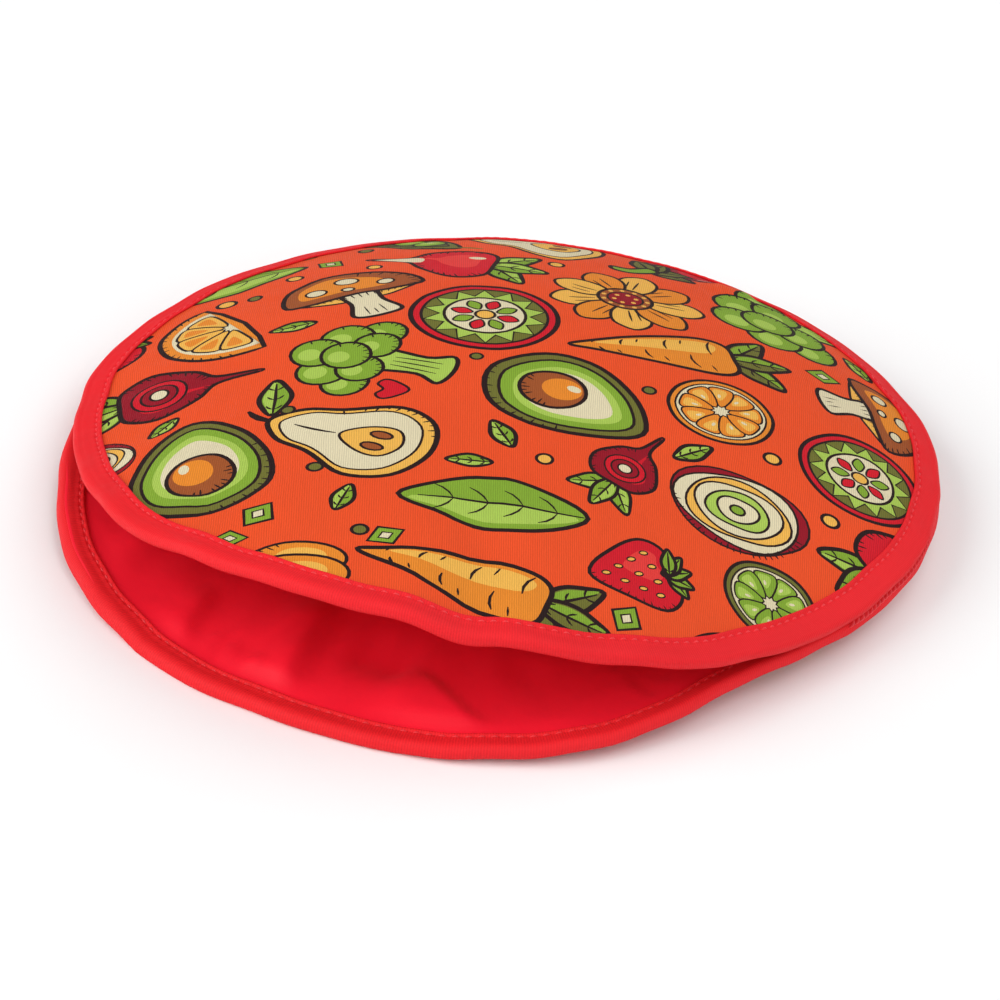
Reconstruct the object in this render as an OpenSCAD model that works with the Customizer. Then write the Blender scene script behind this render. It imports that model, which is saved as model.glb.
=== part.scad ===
// Padded fabric pouch that keeps tortillas warm. Two round padded panels, each
// with its edge wrapped in binding, are sewn together around the back and
// stand open as two lips at the mouth. The mouth faces -Y, the lower panel lies
// on z = 0, and angles around the rim are measured from the middle of the mouth
// towards +X.

/* [Panels] */
// Diameter of each panel laid flat, over its binding
panel_d = 305; // [260:1:360]
// Rise of the upper cover from its rim to its crest
crown = 33; // [12:0.5:48]
// Power of the crown's curve: 2 is a round bowl, and more is flatter on top
crown_power = 2.2; // [1.8:0.1:3]
// Share of the lower panel's radius that lies flat before it turns up to the rim
flat_share = 0.5; // [0.3:0.05:0.7]
// Depth to which the resting panel is pressed flat underneath
rest_press = 0.5; // [0.1:0.1:1]

/* [Mouth] */
// Angle from the middle of the mouth to each end of the seam
mouth_angle = 78; // [60:1:100]
// Height of the seam between the two bindings
seam_h = 14; // [11:0.5:30]
// Rise of the upper lip over the seam at the middle of the mouth
lip_lift = 30; // [6:1:45]
// Height of the lower lip's underside over the table
lip_rest = 1.5; // [0.9:0.1:5]
// How far the upper lip stands out in front of the rim's circle
upper_reach = 6; // [0:1:14]
// How far the lower lip stands out in front of the rim's circle
lower_reach = 16; // [0:1:26]

/* [Layers] */
// Thickness of the printed outer cloth
cover_t = 0.6; // [0.4:0.1:1.2]
// Thickness of the batting over most of a panel
batting_t = 5; // [3:0.5:8]
// Thickness of the batting where the binding holds it
batting_edge_t = 1.4; // [0.8:0.1:2.4]
// Thickness of the lining
lining_t = 0.4; // [0.3:0.1:1]
// Clearance between two layers that lie on each other
layer_gap = 0.1; // [0.05:0.05:0.2]
// Power of the batting's taper: a higher one keeps it full for longer
puff_power = 6; // [3:1:10]

/* [Binding] */
// Width of the binding on the face of a panel
binding_w = 8; // [7:0.5:16]
// Thickness of the binding's cloth, folded double
binding_t = 0.8; // [0.5:0.1:1.4]
// Clearance between the two bindings along the seam
seam_gap = 0.3; // [0.2:0.1:0.6]
// Thickness of the thread
thread_d = 0.7; // [0.4:0.1:1]
// Distance of the stitching from the binding's inner edge
stitch_inset = 2; // [1.2:0.1:4]

/* [Fold] */
// Clearance at the fold between the fixed and the lifting part of the upper panel
fold_gap = 0.3; // [0.2:0.1:0.6]

/* [Hidden] */

cover_colour = [0.95, 0.36, 0.17];
batting_colour = [0.96, 0.95, 0.92];
lining_colour = [0.80, 0.06, 0.15];
binding_colour = [0.88, 0.12, 0.20];
thread_colour = [0.82, 0.08, 0.16];

// Sampling of the surfaces
step = 6;            // angle between two columns of the rim
disc_rows = 5;       // rings between the lower panel's centre and its binding
rear_rows = 5;       // rows between the fold and the binding, behind the fold
front_rows = 3;      // rows between the fold and the binding, in front of it
fold_share = 0.93;   // share of the fold that the first row takes; the rest falls to its ends
nose = sqrt(0.5);    // corner of the half octagon that rounds the binding's edge

// A panel's six faces, counted from the outside in
cover_out = 0;
cover_in = 1;
batting_out = 2;
batting_in = 3;
lining_out = 4;
lining_in = 5;

// Thicknesses of the panel's edge, and of the edge inside its binding
wrap_t = binding_t + layer_gap;
edge_t = cover_t + batting_edge_t + lining_t + 2 * layer_gap;
bound_t = edge_t + 2 * wrap_t;
nose_r = bound_t / 2;

// The crown draws the flat panel's edge in: the surplus of the curve's length over its span
crown_draw = pow(crown * crown_power, 2) / (panel_d * (2 * crown_power - 1));
rim_r = panel_d / 2 - crown_draw;

// Half of what the lower lip adds in front keeps the middle of the whole at the origin
mid_y = lower_reach / 2;

// Heights of the cloth at the seam, and the slope at which the upper binding lies
upper_seam_top = seam_h + seam_gap / 2 + bound_t - wrap_t;
lower_seam_under = seam_h - seam_gap / 2 - bound_t + wrap_t;
rim_slope = atan(crown * crown_power / rim_r);
leg_plan = binding_w * cos(rim_slope);

// Line of the fold between the seam's two ends
fold_y = -(rim_r - nose_r - leg_plan) * cos(mouth_angle);
fold_x = (rim_r - nose_r - leg_plan) * sin(mouth_angle);
lift_angle = acos(cos(mouth_angle) + fold_gap / (rim_r - nose_r - leg_plan));

disc_steps = round(360 / step);
rear_steps = round((360 - 2 * mouth_angle) / step);
front_steps = round(2 * mouth_angle / step);

// ---- Functions of the place: q is [x, y] from the rim circle's centre ----

function mix(u, v, t) = u + (v - u) * t;
function turn(a) = a > 180 ? a - 360 : a;
function away(q) = norm(q);
function bearing(q) = atan2(q[0], -q[1]);
function at(r, a) = [r * sin(a), -r * cos(a)];

// How far the mouth is open at an angle: 1 at its middle and 0 at the seam's ends
function gape(a) =
    let (b = turn(a)) abs(b) >= mouth_angle ? 0 : pow(cos(90 * b / mouth_angle), 2);

// Radius at which the panel's edge ends inside the nose of its binding
function upper_edge(a) = rim_r - nose_r + upper_reach * gape(a);
function lower_edge(a) = rim_r - nose_r + lower_reach * gape(a);

// Thickness of the batting at a share of the edge's radius, where the binding starts at inner
function batting(s, inner) =
    batting_edge_t + (batting_t - batting_edge_t) * (1 - pow(min(1, s / inner), puff_power));

// Top of the upper cover: a crown over the rim, with the lip drawn up at the mouth
function upper_top(q) =
    let (a = bearing(q), s = away(q) / upper_edge(a))
    upper_seam_top + lip_lift * gape(a) * s * s + crown * (1 - pow(s, crown_power));

// Underside of the lower cover: flat where it rests, then turned up to the rim
function turn_up(s) = s <= flat_share ? 0 : pow((s - flat_share) / (1 - flat_share), 2);
function lower_under(q) =
    let (
        a = bearing(q),
        rim = mix(lower_seam_under, lip_rest + wrap_t, gape(a))
    )
    max(0, (rim + rest_press) * turn_up(away(q) / lower_edge(a)) - rest_press);

// Thickness of batting at a place on each panel
function upper_batting(q) =
    let (e = upper_edge(bearing(q))) batting(away(q) / e, 1 - leg_plan / e);
function lower_batting(q) =
    let (e = lower_edge(bearing(q))) batting(away(q) / e, 1 - leg_plan / e);

// Depth of a panel's faces under its outer face, where the batting is pad thick
function depth(face, pad) =
    [
        0, cover_t,
        cover_t + layer_gap, cover_t + layer_gap + pad,
        cover_t + 2 * layer_gap + pad, cover_t + 2 * layer_gap + pad + lining_t
    ][face];
function upper_z(q, face) = upper_top(q) - depth(face, upper_batting(q));
function lower_z(q, face) = lower_under(q) + depth(face, lower_batting(q));

function place(q, z) = [q[0], q[1] + mid_y, z];

// ---- Plans of the panels, as rows of points ----

function rear_angle(i) = mix(mouth_angle, 360 - mouth_angle, i / rear_steps);
function front_angle(i) = mix(-lift_angle, lift_angle, i / front_steps);
function disc_angle(i) = 360 * i / disc_steps;

// Rows from a fold line out to the binding's inner edge, then one at the panel's edge
function fold_rows(rows, steps, y, side) =
    concat(
        [for (j = [0:rows]) [for (i = [0:steps])
            let (
                a = side > 0 ? rear_angle(i) : front_angle(i),
                start = [side * fold_x * fold_share * (1 - 2 * i / steps), y]
            )
            mix(start, at(upper_edge(a) - leg_plan, a), j / rows)]],
        [[for (i = [0:steps])
            let (a = side > 0 ? rear_angle(i) : front_angle(i)) at(upper_edge(a), a)]]
    );
rear_plan = fold_rows(rear_rows, rear_steps, fold_y, 1);
front_plan = fold_rows(front_rows, front_steps, fold_y - fold_gap, -1);

// Rings from near the lower panel's centre to the binding's inner edge, then its edge
disc_plan = concat(
    [for (j = [1:disc_rows]) [for (i = [0:disc_steps - 1])
        let (a = disc_angle(i)) at((lower_edge(a) - leg_plan) * j / disc_rows, a)]],
    [[for (i = [0:disc_steps - 1]) let (a = disc_angle(i)) at(lower_edge(a), a)]]
);

// ---- Solids from rows of points ----

// Two triangles of a four-sided patch, parted along the diagonal that is asked for
function patch(p, q, r, s, first) = first ? [[p, q, r], [p, r, s]] : [[p, q, s], [q, r, s]];

// A sheet with four edges between a lower and an upper face over the same plan
module open_sheet(low, high) {
    rows = len(low);
    columns = len(low[0]);
    top = rows * columns;
    last_row = (rows - 1) * columns;
    last = columns - 1;
    polyhedron(
        points = concat([for (row = low) each row], [for (row = high) each row]),
        faces = concat(
            [for (j = [0:rows - 2], i = [0:last - 1])
                let (k = j * columns + i, first = i < last / 2)
                each patch(k, k + columns, k + columns + 1, k + 1, first)],
            [for (j = [0:rows - 2], i = [0:last - 1])
                let (k = top + j * columns + i, first = i < last / 2)
                for (t = patch(k, k + columns, k + columns + 1, k + 1, first)) [t[2], t[1], t[0]]],
            [for (i = [0:last - 1])
                each patch(top + i, i, i + 1, top + i + 1, true)],
            [for (i = [0:last - 1]) let (k = last_row + i)
                each patch(k, top + k, top + k + 1, k + 1, true)],
            [for (j = [0:rows - 2]) let (k = j * columns)
                each patch(k, top + k, top + k + columns, k + columns, true)],
            [for (j = [0:rows - 2]) let (k = j * columns + last)
                each patch(top + k, k, k + columns, top + k + columns, true)]
        ),
        convexity = 4
    );
}

// A round sheet between two faces given as rings, with a point that closes each centre
module round_sheet(low, high, low_centre, high_centre) {
    rings = len(low);
    n = len(low[0]);
    top = 1 + rings * n;
    polyhedron(
        points = concat([low_centre], [for (ring = low) each ring],
                        [high_centre], [for (ring = high) each ring]),
        faces = concat(
            [for (i = [0:n - 1]) [0, 1 + i, 1 + (i + 1) % n]],
            [for (i = [0:n - 1]) [top, top + 1 + (i + 1) % n, top + 1 + i]],
            [for (j = [0:rings - 2], i = [0:n - 1])
                let (k = 1 + j * n + i, m = 1 + j * n + (i + 1) % n)
                each patch(k, k + n, m + n, m, true)],
            [for (j = [0:rings - 2], i = [0:n - 1])
                let (k = top + 1 + j * n + i, m = top + 1 + j * n + (i + 1) % n)
                for (t = patch(k, k + n, m + n, m, true)) [t[2], t[1], t[0]]],
            [for (i = [0:n - 1])
                let (k = 1 + (rings - 1) * n + i, m = 1 + (rings - 1) * n + (i + 1) % n)
                each patch(k, top + k, top + m, m, true)]
        ),
        convexity = 4
    );
}

// A band through a row of cross-sections, closed on itself, or capped at both ends
// with the triangles of a section that cap lists
module band(sections, cap = []) {
    n = len(sections);
    m = len(sections[0]);
    closed = len(cap) == 0;
    spans = closed ? n : n - 1;
    last = (n - 1) * m;
    polyhedron(
        points = [for (section = sections) each section],
        faces = concat(
            [for (k = [0:spans - 1], i = [0:m - 1])
                let (here = k * m, next = ((k + 1) % n) * m, j = (i + 1) % m)
                each patch(here + i, next + i, next + j, here + j, true)],
            [for (t = cap) t],
            [for (t = cap) [last + t[2], last + t[1], last + t[0]]]
        ),
        convexity = 6
    );
}

// ---- Layers ----

module upper_layer(plan, outer, inner) {
    open_sheet([for (row = plan) [for (q = row) place(q, upper_z(q, inner))]],
               [for (row = plan) [for (q = row) place(q, upper_z(q, outer))]]);
}

module lower_layer(outer, inner) {
    round_sheet([for (row = disc_plan) [for (q = row) place(q, lower_z(q, outer))]],
                [for (row = disc_plan) [for (q = row) place(q, lower_z(q, inner))]],
                place([0, 0], lower_z([0, 0], outer)),
                place([0, 0], lower_z([0, 0], inner)));
}

// ---- Bindings: cloth folded round the edge, as one section at an angle ----

// The section is drawn from the heights of the panel's faces at the binding's inner edge
// and at the panel's edge, and its nose is half an octagon
function binding_section(a, edge, in_top, in_low, top, low) =
    let (
        inner = edge - leg_plan,
        middle = (top + low) / 2,
        wall = edge + layer_gap
    )
    [for (p = [
        [inner, in_top + wrap_t], [edge, top + wrap_t],
        [edge + nose * nose_r, middle + nose * nose_r], [edge + nose_r, middle],
        [edge + nose * nose_r, middle - nose * nose_r],
        [edge, low - wrap_t], [inner, in_low - wrap_t],
        [inner, in_low - layer_gap], [wall, low - layer_gap],
        [wall, top + layer_gap], [inner, in_top + layer_gap]
    ]) place(at(p[0], a), p[1])];
binding_cap = [
    [0, 1, 9], [0, 9, 10], [1, 2, 9], [2, 3, 9], [3, 8, 9], [3, 4, 8], [4, 5, 8], [5, 6, 8], [6, 7, 8]
];

function upper_binding_section(a) =
    let (edge = upper_edge(a), q = at(edge - leg_plan, a), e = at(edge, a))
    binding_section(a, edge, upper_z(q, cover_out), upper_z(q, lining_in),
                    upper_z(e, cover_out), upper_z(e, lining_in));
function lower_binding_section(a) =
    let (edge = lower_edge(a), q = at(edge - leg_plan, a), e = at(edge, a))
    binding_section(a, edge, lower_z(q, lining_in), lower_z(q, cover_out),
                    lower_z(e, lining_in), lower_z(e, cover_out));

// ---- Thread: a strand with four sides, laid on the binding ----

function strand(r, a, z) =
    [for (d = [[0, 1], [1, 0], [0, -1], [-1, 0]])
        place(at(r + d[0] * thread_d / 2, a), z + d[1] * thread_d / 2)];
strand_cap = [[0, 1, 2], [0, 2, 3]];
lie = wrap_t + layer_gap + thread_d / 2;   // height of a strand's middle over the cloth

function upper_strand(a, face) =
    let (r = upper_edge(a) - leg_plan + stitch_inset)
    strand(r, a, upper_z(at(r, a), face) + (face == cover_out ? lie : -lie));
function lower_strand(a, face) =
    let (r = lower_edge(a) - leg_plan + stitch_inset)
    strand(r, a, lower_z(at(r, a), face) + (face == cover_out ? -lie : lie));

module upper_topstitch(steps) {
    for (face = [cover_out, lining_in])
        band([for (a = steps) upper_strand(a, face)], strand_cap);
}

rear_angles = [for (i = [0:rear_steps]) rear_angle(i)];
front_angles = [for (i = [0:front_steps]) front_angle(i)];
disc_angles = [for (i = [0:disc_steps - 1]) disc_angle(i)];

// ---- Sub-parts ----

module lower_cover() color(cover_colour) lower_layer(cover_out, cover_in);
module lower_batting() color(batting_colour) lower_layer(batting_out, batting_in);
module lower_lining() color(lining_colour) lower_layer(lining_out, lining_in);
module lower_binding()
    color(binding_colour) band([for (a = disc_angles) lower_binding_section(a)]);
module lower_topstitch()
    color(thread_colour) for (face = [cover_out, lining_in])
        band([for (a = disc_angles) lower_strand(a, face)]);

module upper_cover_rear() color(cover_colour) upper_layer(rear_plan, cover_out, cover_in);
module upper_batting_rear() color(batting_colour) upper_layer(rear_plan, batting_out, batting_in);
module upper_lining_rear() color(lining_colour) upper_layer(rear_plan, lining_out, lining_in);
module upper_binding_rear()
    color(binding_colour) band([for (a = rear_angles) upper_binding_section(a)], binding_cap);
module upper_topstitch_rear() color(thread_colour) upper_topstitch(rear_angles);

module upper_cover_front() color(cover_colour) upper_layer(front_plan, cover_out, cover_in);
module upper_batting_front() color(batting_colour) upper_layer(front_plan, batting_out, batting_in);
module upper_lining_front() color(lining_colour) upper_layer(front_plan, lining_out, lining_in);
module upper_binding_front()
    color(binding_colour) band([for (a = front_angles) upper_binding_section(a)], binding_cap);
module upper_topstitch_front() color(thread_colour) upper_topstitch(front_angles);

// The seam's thread lies in the groove between the two bindings' noses
module seam_stitch()
    color(thread_colour)
        band([for (a = rear_angles) strand(rim_r - nose_r / 2, a, seam_h)], strand_cap);

lower_cover();
lower_batting();
lower_lining();
lower_binding();
lower_topstitch();
upper_cover_rear();
upper_batting_rear();
upper_lining_rear();
upper_binding_rear();
upper_topstitch_rear();
upper_cover_front();
upper_batting_front();
upper_lining_front();
upper_binding_front();
upper_topstitch_front();
seam_stitch();
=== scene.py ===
"""A round padded fabric tortilla warmer: two discs with bound edges, sewn together around the back.

Everything is in metres. The rim circle's centre is at (0, MID_Y). Angles round it are in degrees, from the
middle of the mouth at -Y towards +X. On a cloth, s is 0 at the centre and 1 at the panel's edge.
"""
import math

import bpy
import numpy as np
from mathutils import Matrix, Vector, geometry


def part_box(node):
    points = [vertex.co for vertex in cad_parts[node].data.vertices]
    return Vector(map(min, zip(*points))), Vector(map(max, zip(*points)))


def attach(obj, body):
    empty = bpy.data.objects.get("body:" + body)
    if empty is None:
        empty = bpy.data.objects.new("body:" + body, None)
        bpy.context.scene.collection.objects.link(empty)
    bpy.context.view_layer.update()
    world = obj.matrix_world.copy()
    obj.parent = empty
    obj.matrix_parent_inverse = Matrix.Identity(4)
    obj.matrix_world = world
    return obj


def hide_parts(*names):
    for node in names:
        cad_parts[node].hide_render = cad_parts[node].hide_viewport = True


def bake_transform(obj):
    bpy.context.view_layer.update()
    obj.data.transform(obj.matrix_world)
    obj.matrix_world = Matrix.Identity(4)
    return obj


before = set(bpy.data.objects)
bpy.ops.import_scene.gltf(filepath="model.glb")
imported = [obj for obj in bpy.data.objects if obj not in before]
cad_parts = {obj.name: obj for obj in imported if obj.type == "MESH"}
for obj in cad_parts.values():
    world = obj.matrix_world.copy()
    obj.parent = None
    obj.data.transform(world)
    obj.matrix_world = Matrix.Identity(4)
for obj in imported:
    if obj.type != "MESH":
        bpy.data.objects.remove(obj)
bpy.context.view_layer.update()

MM = 0.001
UPPER = "upper"
LOWER = "lower"

# ---- Sizes, from the frame and from the cloths ----

rim_low, rim_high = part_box("lower_binding")
seam_low, seam_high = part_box("seam_stitch")
RIM_R = (rim_high.x - rim_low.x) / 2
MID_Y = rim_high.y - RIM_R
SEAM_Z = (seam_low.z + seam_high.z) / 2

EDGE_RIPPLE = 0.22 * MM
LOWER_DENT = 2.4 * MM        # the lower lip runs straighter at this angle, near the seam's right end
LOWER_DENT_AT = 56
LIP_PINCH = 1.6 * MM         # a small pleat in the upper lip's binding
LIP_PINCH_AT = 20.0

CUT_D = 0.305                # diameter of a cover or a lining, cut flat
COVER_T = 0.6 * MM
LINING_T = 0.4 * MM
BATTING_T = 5.0 * MM
BATTING_EDGE_T = 1.4 * MM
BINDING_T = 0.8 * MM
BINDING_W = 8.0 * MM
BATTING_SINK = 0.35 * MM     # the lining bridges the smallest hollows of the pad
LAYER_GAP = 0.1 * MM
SEAM_GAP = 0.3 * MM
THREAD_D = 0.8 * MM
STITCH_INSET = 2.0 * MM
PUFF_POWER = 6

WRAP_T = BINDING_T + LAYER_GAP
BOUND_T = COVER_T + BATTING_EDGE_T + LINING_T + 2 * LAYER_GAP + 2 * WRAP_T
NOSE_R = BOUND_T / 2
EDGE_SHARE = 1 - 0.2 * MM / RIM_R       # the cut edges stop just short of the nose of the binding

CROWN = 33 * MM              # height of the upper panel's crown over its seam
CROWN_POWER = 2.2
BACK_SHOULDER = 6.4 * MM     # fullness of the crown's shoulder at the back
BACK_AT = 172.0
LIP_LIFT = 29 * MM           # how far the upper lip is drawn up in the middle of the mouth
LIP_REST = 1.5 * MM          # height of the lower lip's binding there
UPPER_REACH = 5.6 * MM
LOWER_REACH = 17 * MM
LOWER_SHIFT = 2.0 * MM       # how far the lower lip is drawn towards -X
FLAT_SHARE = 0.5             # share of the lower panel that lies flat
REST_PRESS = 0.5 * MM        # how far the table flattens the lower panel
FLOOR_GAP = 0.2 * MM         # least height of the lower binding's underside
MOUTH_ANGLE = 77.0           # from the middle of the mouth to an end of the seam
MOUTH_TURN = -2.4            # the mouth's middle lies this far from -Y

UPPER_SEAM_TOP = SEAM_Z + SEAM_GAP / 2 + BOUND_T - WRAP_T
LOWER_SEAM_UNDER = SEAM_Z - SEAM_GAP / 2 - BOUND_T + WRAP_T
LEG = BINDING_W * math.cos(math.atan(CROWN * CROWN_POWER / RIM_R))

# Waves of the sewn rims, as (number of waves, cosine and sine part in millimetres)
RIM_PLAN_WAVES = ((2, -0.7, -3.7), (3, 1.3, 0.8), (4, -0.2, 0.9))
RIM_HEIGHT_WAVES = ((1, 0.0, 0.3), (2, 1.4, 0.3))
UPPER_PLAN_WAVES = ((2, 0.4, 1.8), (3, 0.0, -0.9), (4, -0.3, -0.9), (5, -1.2, 0.0))
LOWER_PLAN_WAVES = ((2, 0.1, -1.5), (3, -0.8, 0.7), (4, -1.3, 0.7), (5, -1.5, -0.1))
UPPER_HEIGHT_WAVES = ((2, -0.1, 0.8), (3, -0.3, 1.1), (4, -0.3, 0.1), (5, 0.8, -0.6))
LOWER_HEIGHT_WAVES = ((2, -2.3, 0.8), (3, -1.2, -0.2), (4, 0.4, -0.1), (5, 0.7, 0.7))

# ---- Camera, at the photograph's viewing angle ----

CAMERA_AZIMUTH = 18.9
CAMERA_ELEVATION = 33.4
CAMERA_ROLL = 5.9
CAMERA_DISTANCE = 1.267
CAMERA_TARGET = Vector((0.0031, -0.0030, 0.0026))
CAMERA_LENS = 131.0

# ---- Shape of the two panels ----


def waves(a, table):
    return sum(MM * (c * np.cos(np.radians(n * a)) + s * np.sin(np.radians(n * a))) for n, c, s in table)


def gape(a):
    """How far the mouth is open at an angle: 1 at its middle and 0 at the seam's ends."""
    b = np.abs((a - MOUTH_TURN + 180) % 360 - 180)
    return np.where(b < MOUTH_ANGLE, np.cos(np.radians(90 * np.minimum(b / MOUTH_ANGLE, 1))) ** 2, 0)


def bump(a, middle, width):
    """1 at an angle, fading out over a width to both sides."""
    b = (a - middle + 180) % 360 - 180
    return np.exp(-(b / width) ** 2)


def ripple(a, first):
    """Small unevenness of a hand-guided edge, all round."""
    t = np.radians(a)
    return EDGE_RIPPLE * (np.sin(9 * t + first) + np.sin(14 * t + 3 * first)
                          + 0.8 * np.sin(23 * t + 2 * first) + 0.6 * np.sin(37 * t + first))


def edge_radius(side, a):
    """Radius at which a panel's edge ends inside the nose of its binding."""
    g = gape(a)
    reach, table = (UPPER_REACH, UPPER_PLAN_WAVES) if side == UPPER else (LOWER_REACH, LOWER_PLAN_WAVES)
    radius = RIM_R - NOSE_R + reach * g + waves(a, RIM_PLAN_WAVES) + np.sqrt(g) * waves(a, table)
    if side == UPPER:
        return radius + ripple(a, 1) - LIP_PINCH * bump(a, LIP_PINCH_AT, 3.4)
    radius = radius + ripple(a, 4)
    return radius - LOWER_SHIFT * np.sqrt(g) * np.sin(np.radians(a)) - LOWER_DENT * bump(a, LOWER_DENT_AT, 9)


def outer_height(side, s, a):
    """Height of the outer face of a panel's cover."""
    g = gape(a)
    rise = waves(a, RIM_HEIGHT_WAVES)
    if side == UPPER:
        pleat = LIP_PINCH * (a - LIP_PINCH_AT) / 3 * bump(a, LIP_PINCH_AT, 5)
        lip = LIP_LIFT * g + rise + np.sqrt(g) * (waves(a, UPPER_HEIGHT_WAVES) + 2 * ripple(a, 2)) + pleat
        back = (0.5 + 0.5 * np.cos(np.radians(a - BACK_AT))) ** 3
        shoulder = BACK_SHOULDER * back * s ** 4 * (1 - s ** 8)
        return UPPER_SEAM_TOP + lip * s * s + CROWN * (1 - np.abs(s) ** CROWN_POWER) + shoulder
    rim = LOWER_SEAM_UNDER + (LIP_REST + WRAP_T - LOWER_SEAM_UNDER) * g + rise * (1 - g)
    rim = rim + np.sqrt(g) * (waves(a, LOWER_HEIGHT_WAVES) + 1.5 * ripple(a, 7))
    rim = np.maximum(rim, WRAP_T + FLOOR_GAP)
    turn_up = np.maximum(0, (s - FLAT_SHARE) / (1 - FLAT_SHARE)) ** 2
    return np.maximum(0, (rim + REST_PRESS) * turn_up - REST_PRESS)


EASE = {}       # how far the simulated cloth lies off its plain form, by side and face


def sampled(grid, s, a):
    """A grid over rings and columns at any place on a cloth, by cubic interpolation."""
    rows, columns = grid.shape[0] - 1, grid.shape[1]
    x, y = (a + 180) / 360 * columns, np.clip(s, 0, 1) * rows
    i, j = np.floor(x).astype(int), np.minimum(np.floor(y).astype(int), rows - 1)

    def shares(t):
        return ((-t + 2 * t ** 2 - t ** 3) / 2, (2 - 5 * t ** 2 + 3 * t ** 3) / 2,
                (t + 4 * t ** 2 - 3 * t ** 3) / 2, (t ** 3 - t ** 2) / 2)

    across, along = shares(x - i), shares(y - j)
    return sum(along[m] * across[n] * grid[np.clip(j + m - 1, 0, rows), (i + n - 1) % columns]
               for m in range(4) for n in range(4))


def inward(side, s, a, depth):
    """Height at a depth under the cover's outer face, where a depth of 1 stands for the whole pad."""
    inner = 1 - LEG / edge_radius(side, a)
    pad = BATTING_EDGE_T + (BATTING_T - BATTING_EDGE_T) * (1 - np.minimum(1, s / inner) ** PUFF_POWER)
    thickness, pads = depth
    down = -1 if side == UPPER else 1
    height = outer_height(side, s, a) + down * (thickness + pads * pad)
    if (side, pads) in EASE:
        height = height + sampled(EASE[side, pads], s, a)
    for fold in FOLDS.get((side, pads), ()):
        height = height + crease(side, s, a, fold) * bound(s)
    return height


# Faces of the layers, as (depth under the cover's outer face, whether the pad is counted in)
COVER_OUT = (0.0, 0)
BATTING_OUT = (COVER_T + LAYER_GAP, 0)
BATTING_IN = (COVER_T + LAYER_GAP, 1)
LINING_IN = (COVER_T + 2 * LAYER_GAP + LINING_T, 1)


def place(r, a, z):
    t = np.radians(a)
    return np.stack([r * np.sin(t), MID_Y - r * np.cos(t), z + 0 * r], -1)


def cloth_points(side, s, a, depth):
    return place(s * edge_radius(side, a), a, inward(side, s, a, depth))


# ---- Meshes ----

OUTWARD = (bpy.ops.mesh.normals_make_consistent, {"inside": False})
FLIP = (bpy.ops.mesh.flip_normals, {})

def fresh():
    if bpy.context.object and bpy.context.object.mode != "OBJECT":
        bpy.ops.object.mode_set(mode="OBJECT")
    bpy.ops.object.select_all(action="DESELECT")


def vertices(piece):
    points = np.empty(3 * len(piece.data.vertices))
    piece.data.vertices.foreach_get("co", points)
    return points.reshape(-1, 3)


def move_vertices(piece, points):
    piece.data.vertices.foreach_set("co", np.ascontiguousarray(points, float).ravel())
    piece.data.update()


def bearing(x, y):
    return np.degrees(np.arctan2(x, -y))


def pick(piece):
    """Makes a piece the only one that the next operators work on."""
    fresh()
    piece.select_set(True)
    bpy.context.view_layer.objects.active = piece


def edit(*steps):
    """Runs mesh operators on all of the active piece."""
    bpy.ops.object.mode_set(mode="EDIT")
    for step, settings in steps:
        bpy.ops.mesh.select_all(action="SELECT")
        step(**settings)
    bpy.ops.object.mode_set(mode="OBJECT")


def settle(piece, name):
    """Puts a finished piece's place into its mesh, smooths its shading and names it."""
    pick(piece)
    bpy.ops.object.transform_apply(location=True, rotation=True, scale=True)
    bpy.ops.object.shade_smooth()
    piece.name = name
    piece.data.name = name
    return piece


def apply_modifiers(piece):
    bpy.context.view_layer.objects.active = piece
    for modifier in list(piece.modifiers):
        bpy.ops.object.modifier_apply(modifier=modifier.name)


def flat_disc(columns, rings):
    """A flat disc with a radius of 1: a circle extruded inwards, ring by ring, and closed at its centre."""
    fresh()
    bpy.ops.mesh.primitive_circle_add(vertices=columns, radius=1)
    disc = bpy.context.object
    bpy.ops.object.mode_set(mode="EDIT")
    bpy.ops.mesh.select_all(action="SELECT")
    for outer, inner in zip(rings, rings[1:]):
        share = inner / outer
        bpy.ops.mesh.extrude_edges_indiv()
        bpy.ops.transform.resize(value=(share, share, 1), center_override=(0, 0, 0))
    bpy.ops.mesh.extrude_edges_indiv()
    bpy.ops.mesh.merge(type="CENTER")
    bpy.ops.object.mode_set(mode="OBJECT")
    edit(OUTWARD)
    if disc.data.polygons[0].normal.z < 0:
        edit(FLIP)
    return disc


def disc_rings(count):
    """Evenly spaced radii from 1 down towards the centre."""
    return [1 - (1 - 1 / count) * (k / (count - 1)) for k in range(count)]


def disc_places(disc):
    points = vertices(disc)
    return np.hypot(points[:, 0], points[:, 1]), bearing(points[:, 0], points[:, 1])


def flat_map(piece, flat_xy):
    """A UV map that lies on the cloth as it was cut, in metres, for the weave and the print."""
    layer = piece.data.uv_layers.new(name="Cut")
    corners = np.empty(len(piece.data.loops), int)
    piece.data.loops.foreach_get("vertex_index", corners)
    layer.uv.foreach_set("vector", flat_xy[corners].astype(np.float32).ravel())


def thicken(piece, thickness):
    """Gives a sheet a second face below its first one."""
    solid = piece.modifiers.new("Thickness", "SOLIDIFY")
    solid.thickness = thickness
    solid.offset = -1
    apply_modifiers(piece)


def new_piece(name, points, faces):
    """A piece from a list of points and a list of faces."""
    mesh = bpy.data.meshes.new(name)
    mesh.from_pydata(points, [], faces)
    piece = bpy.data.objects.new(name, mesh)
    bpy.context.collection.objects.link(piece)
    return piece


def above_floor(points):
    """The same points, with those below the floor's height of 0 lifted to it."""
    points[..., 2] = np.maximum(points[..., 2], 0)
    return points


# ---- Simulated cloth ----

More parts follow.
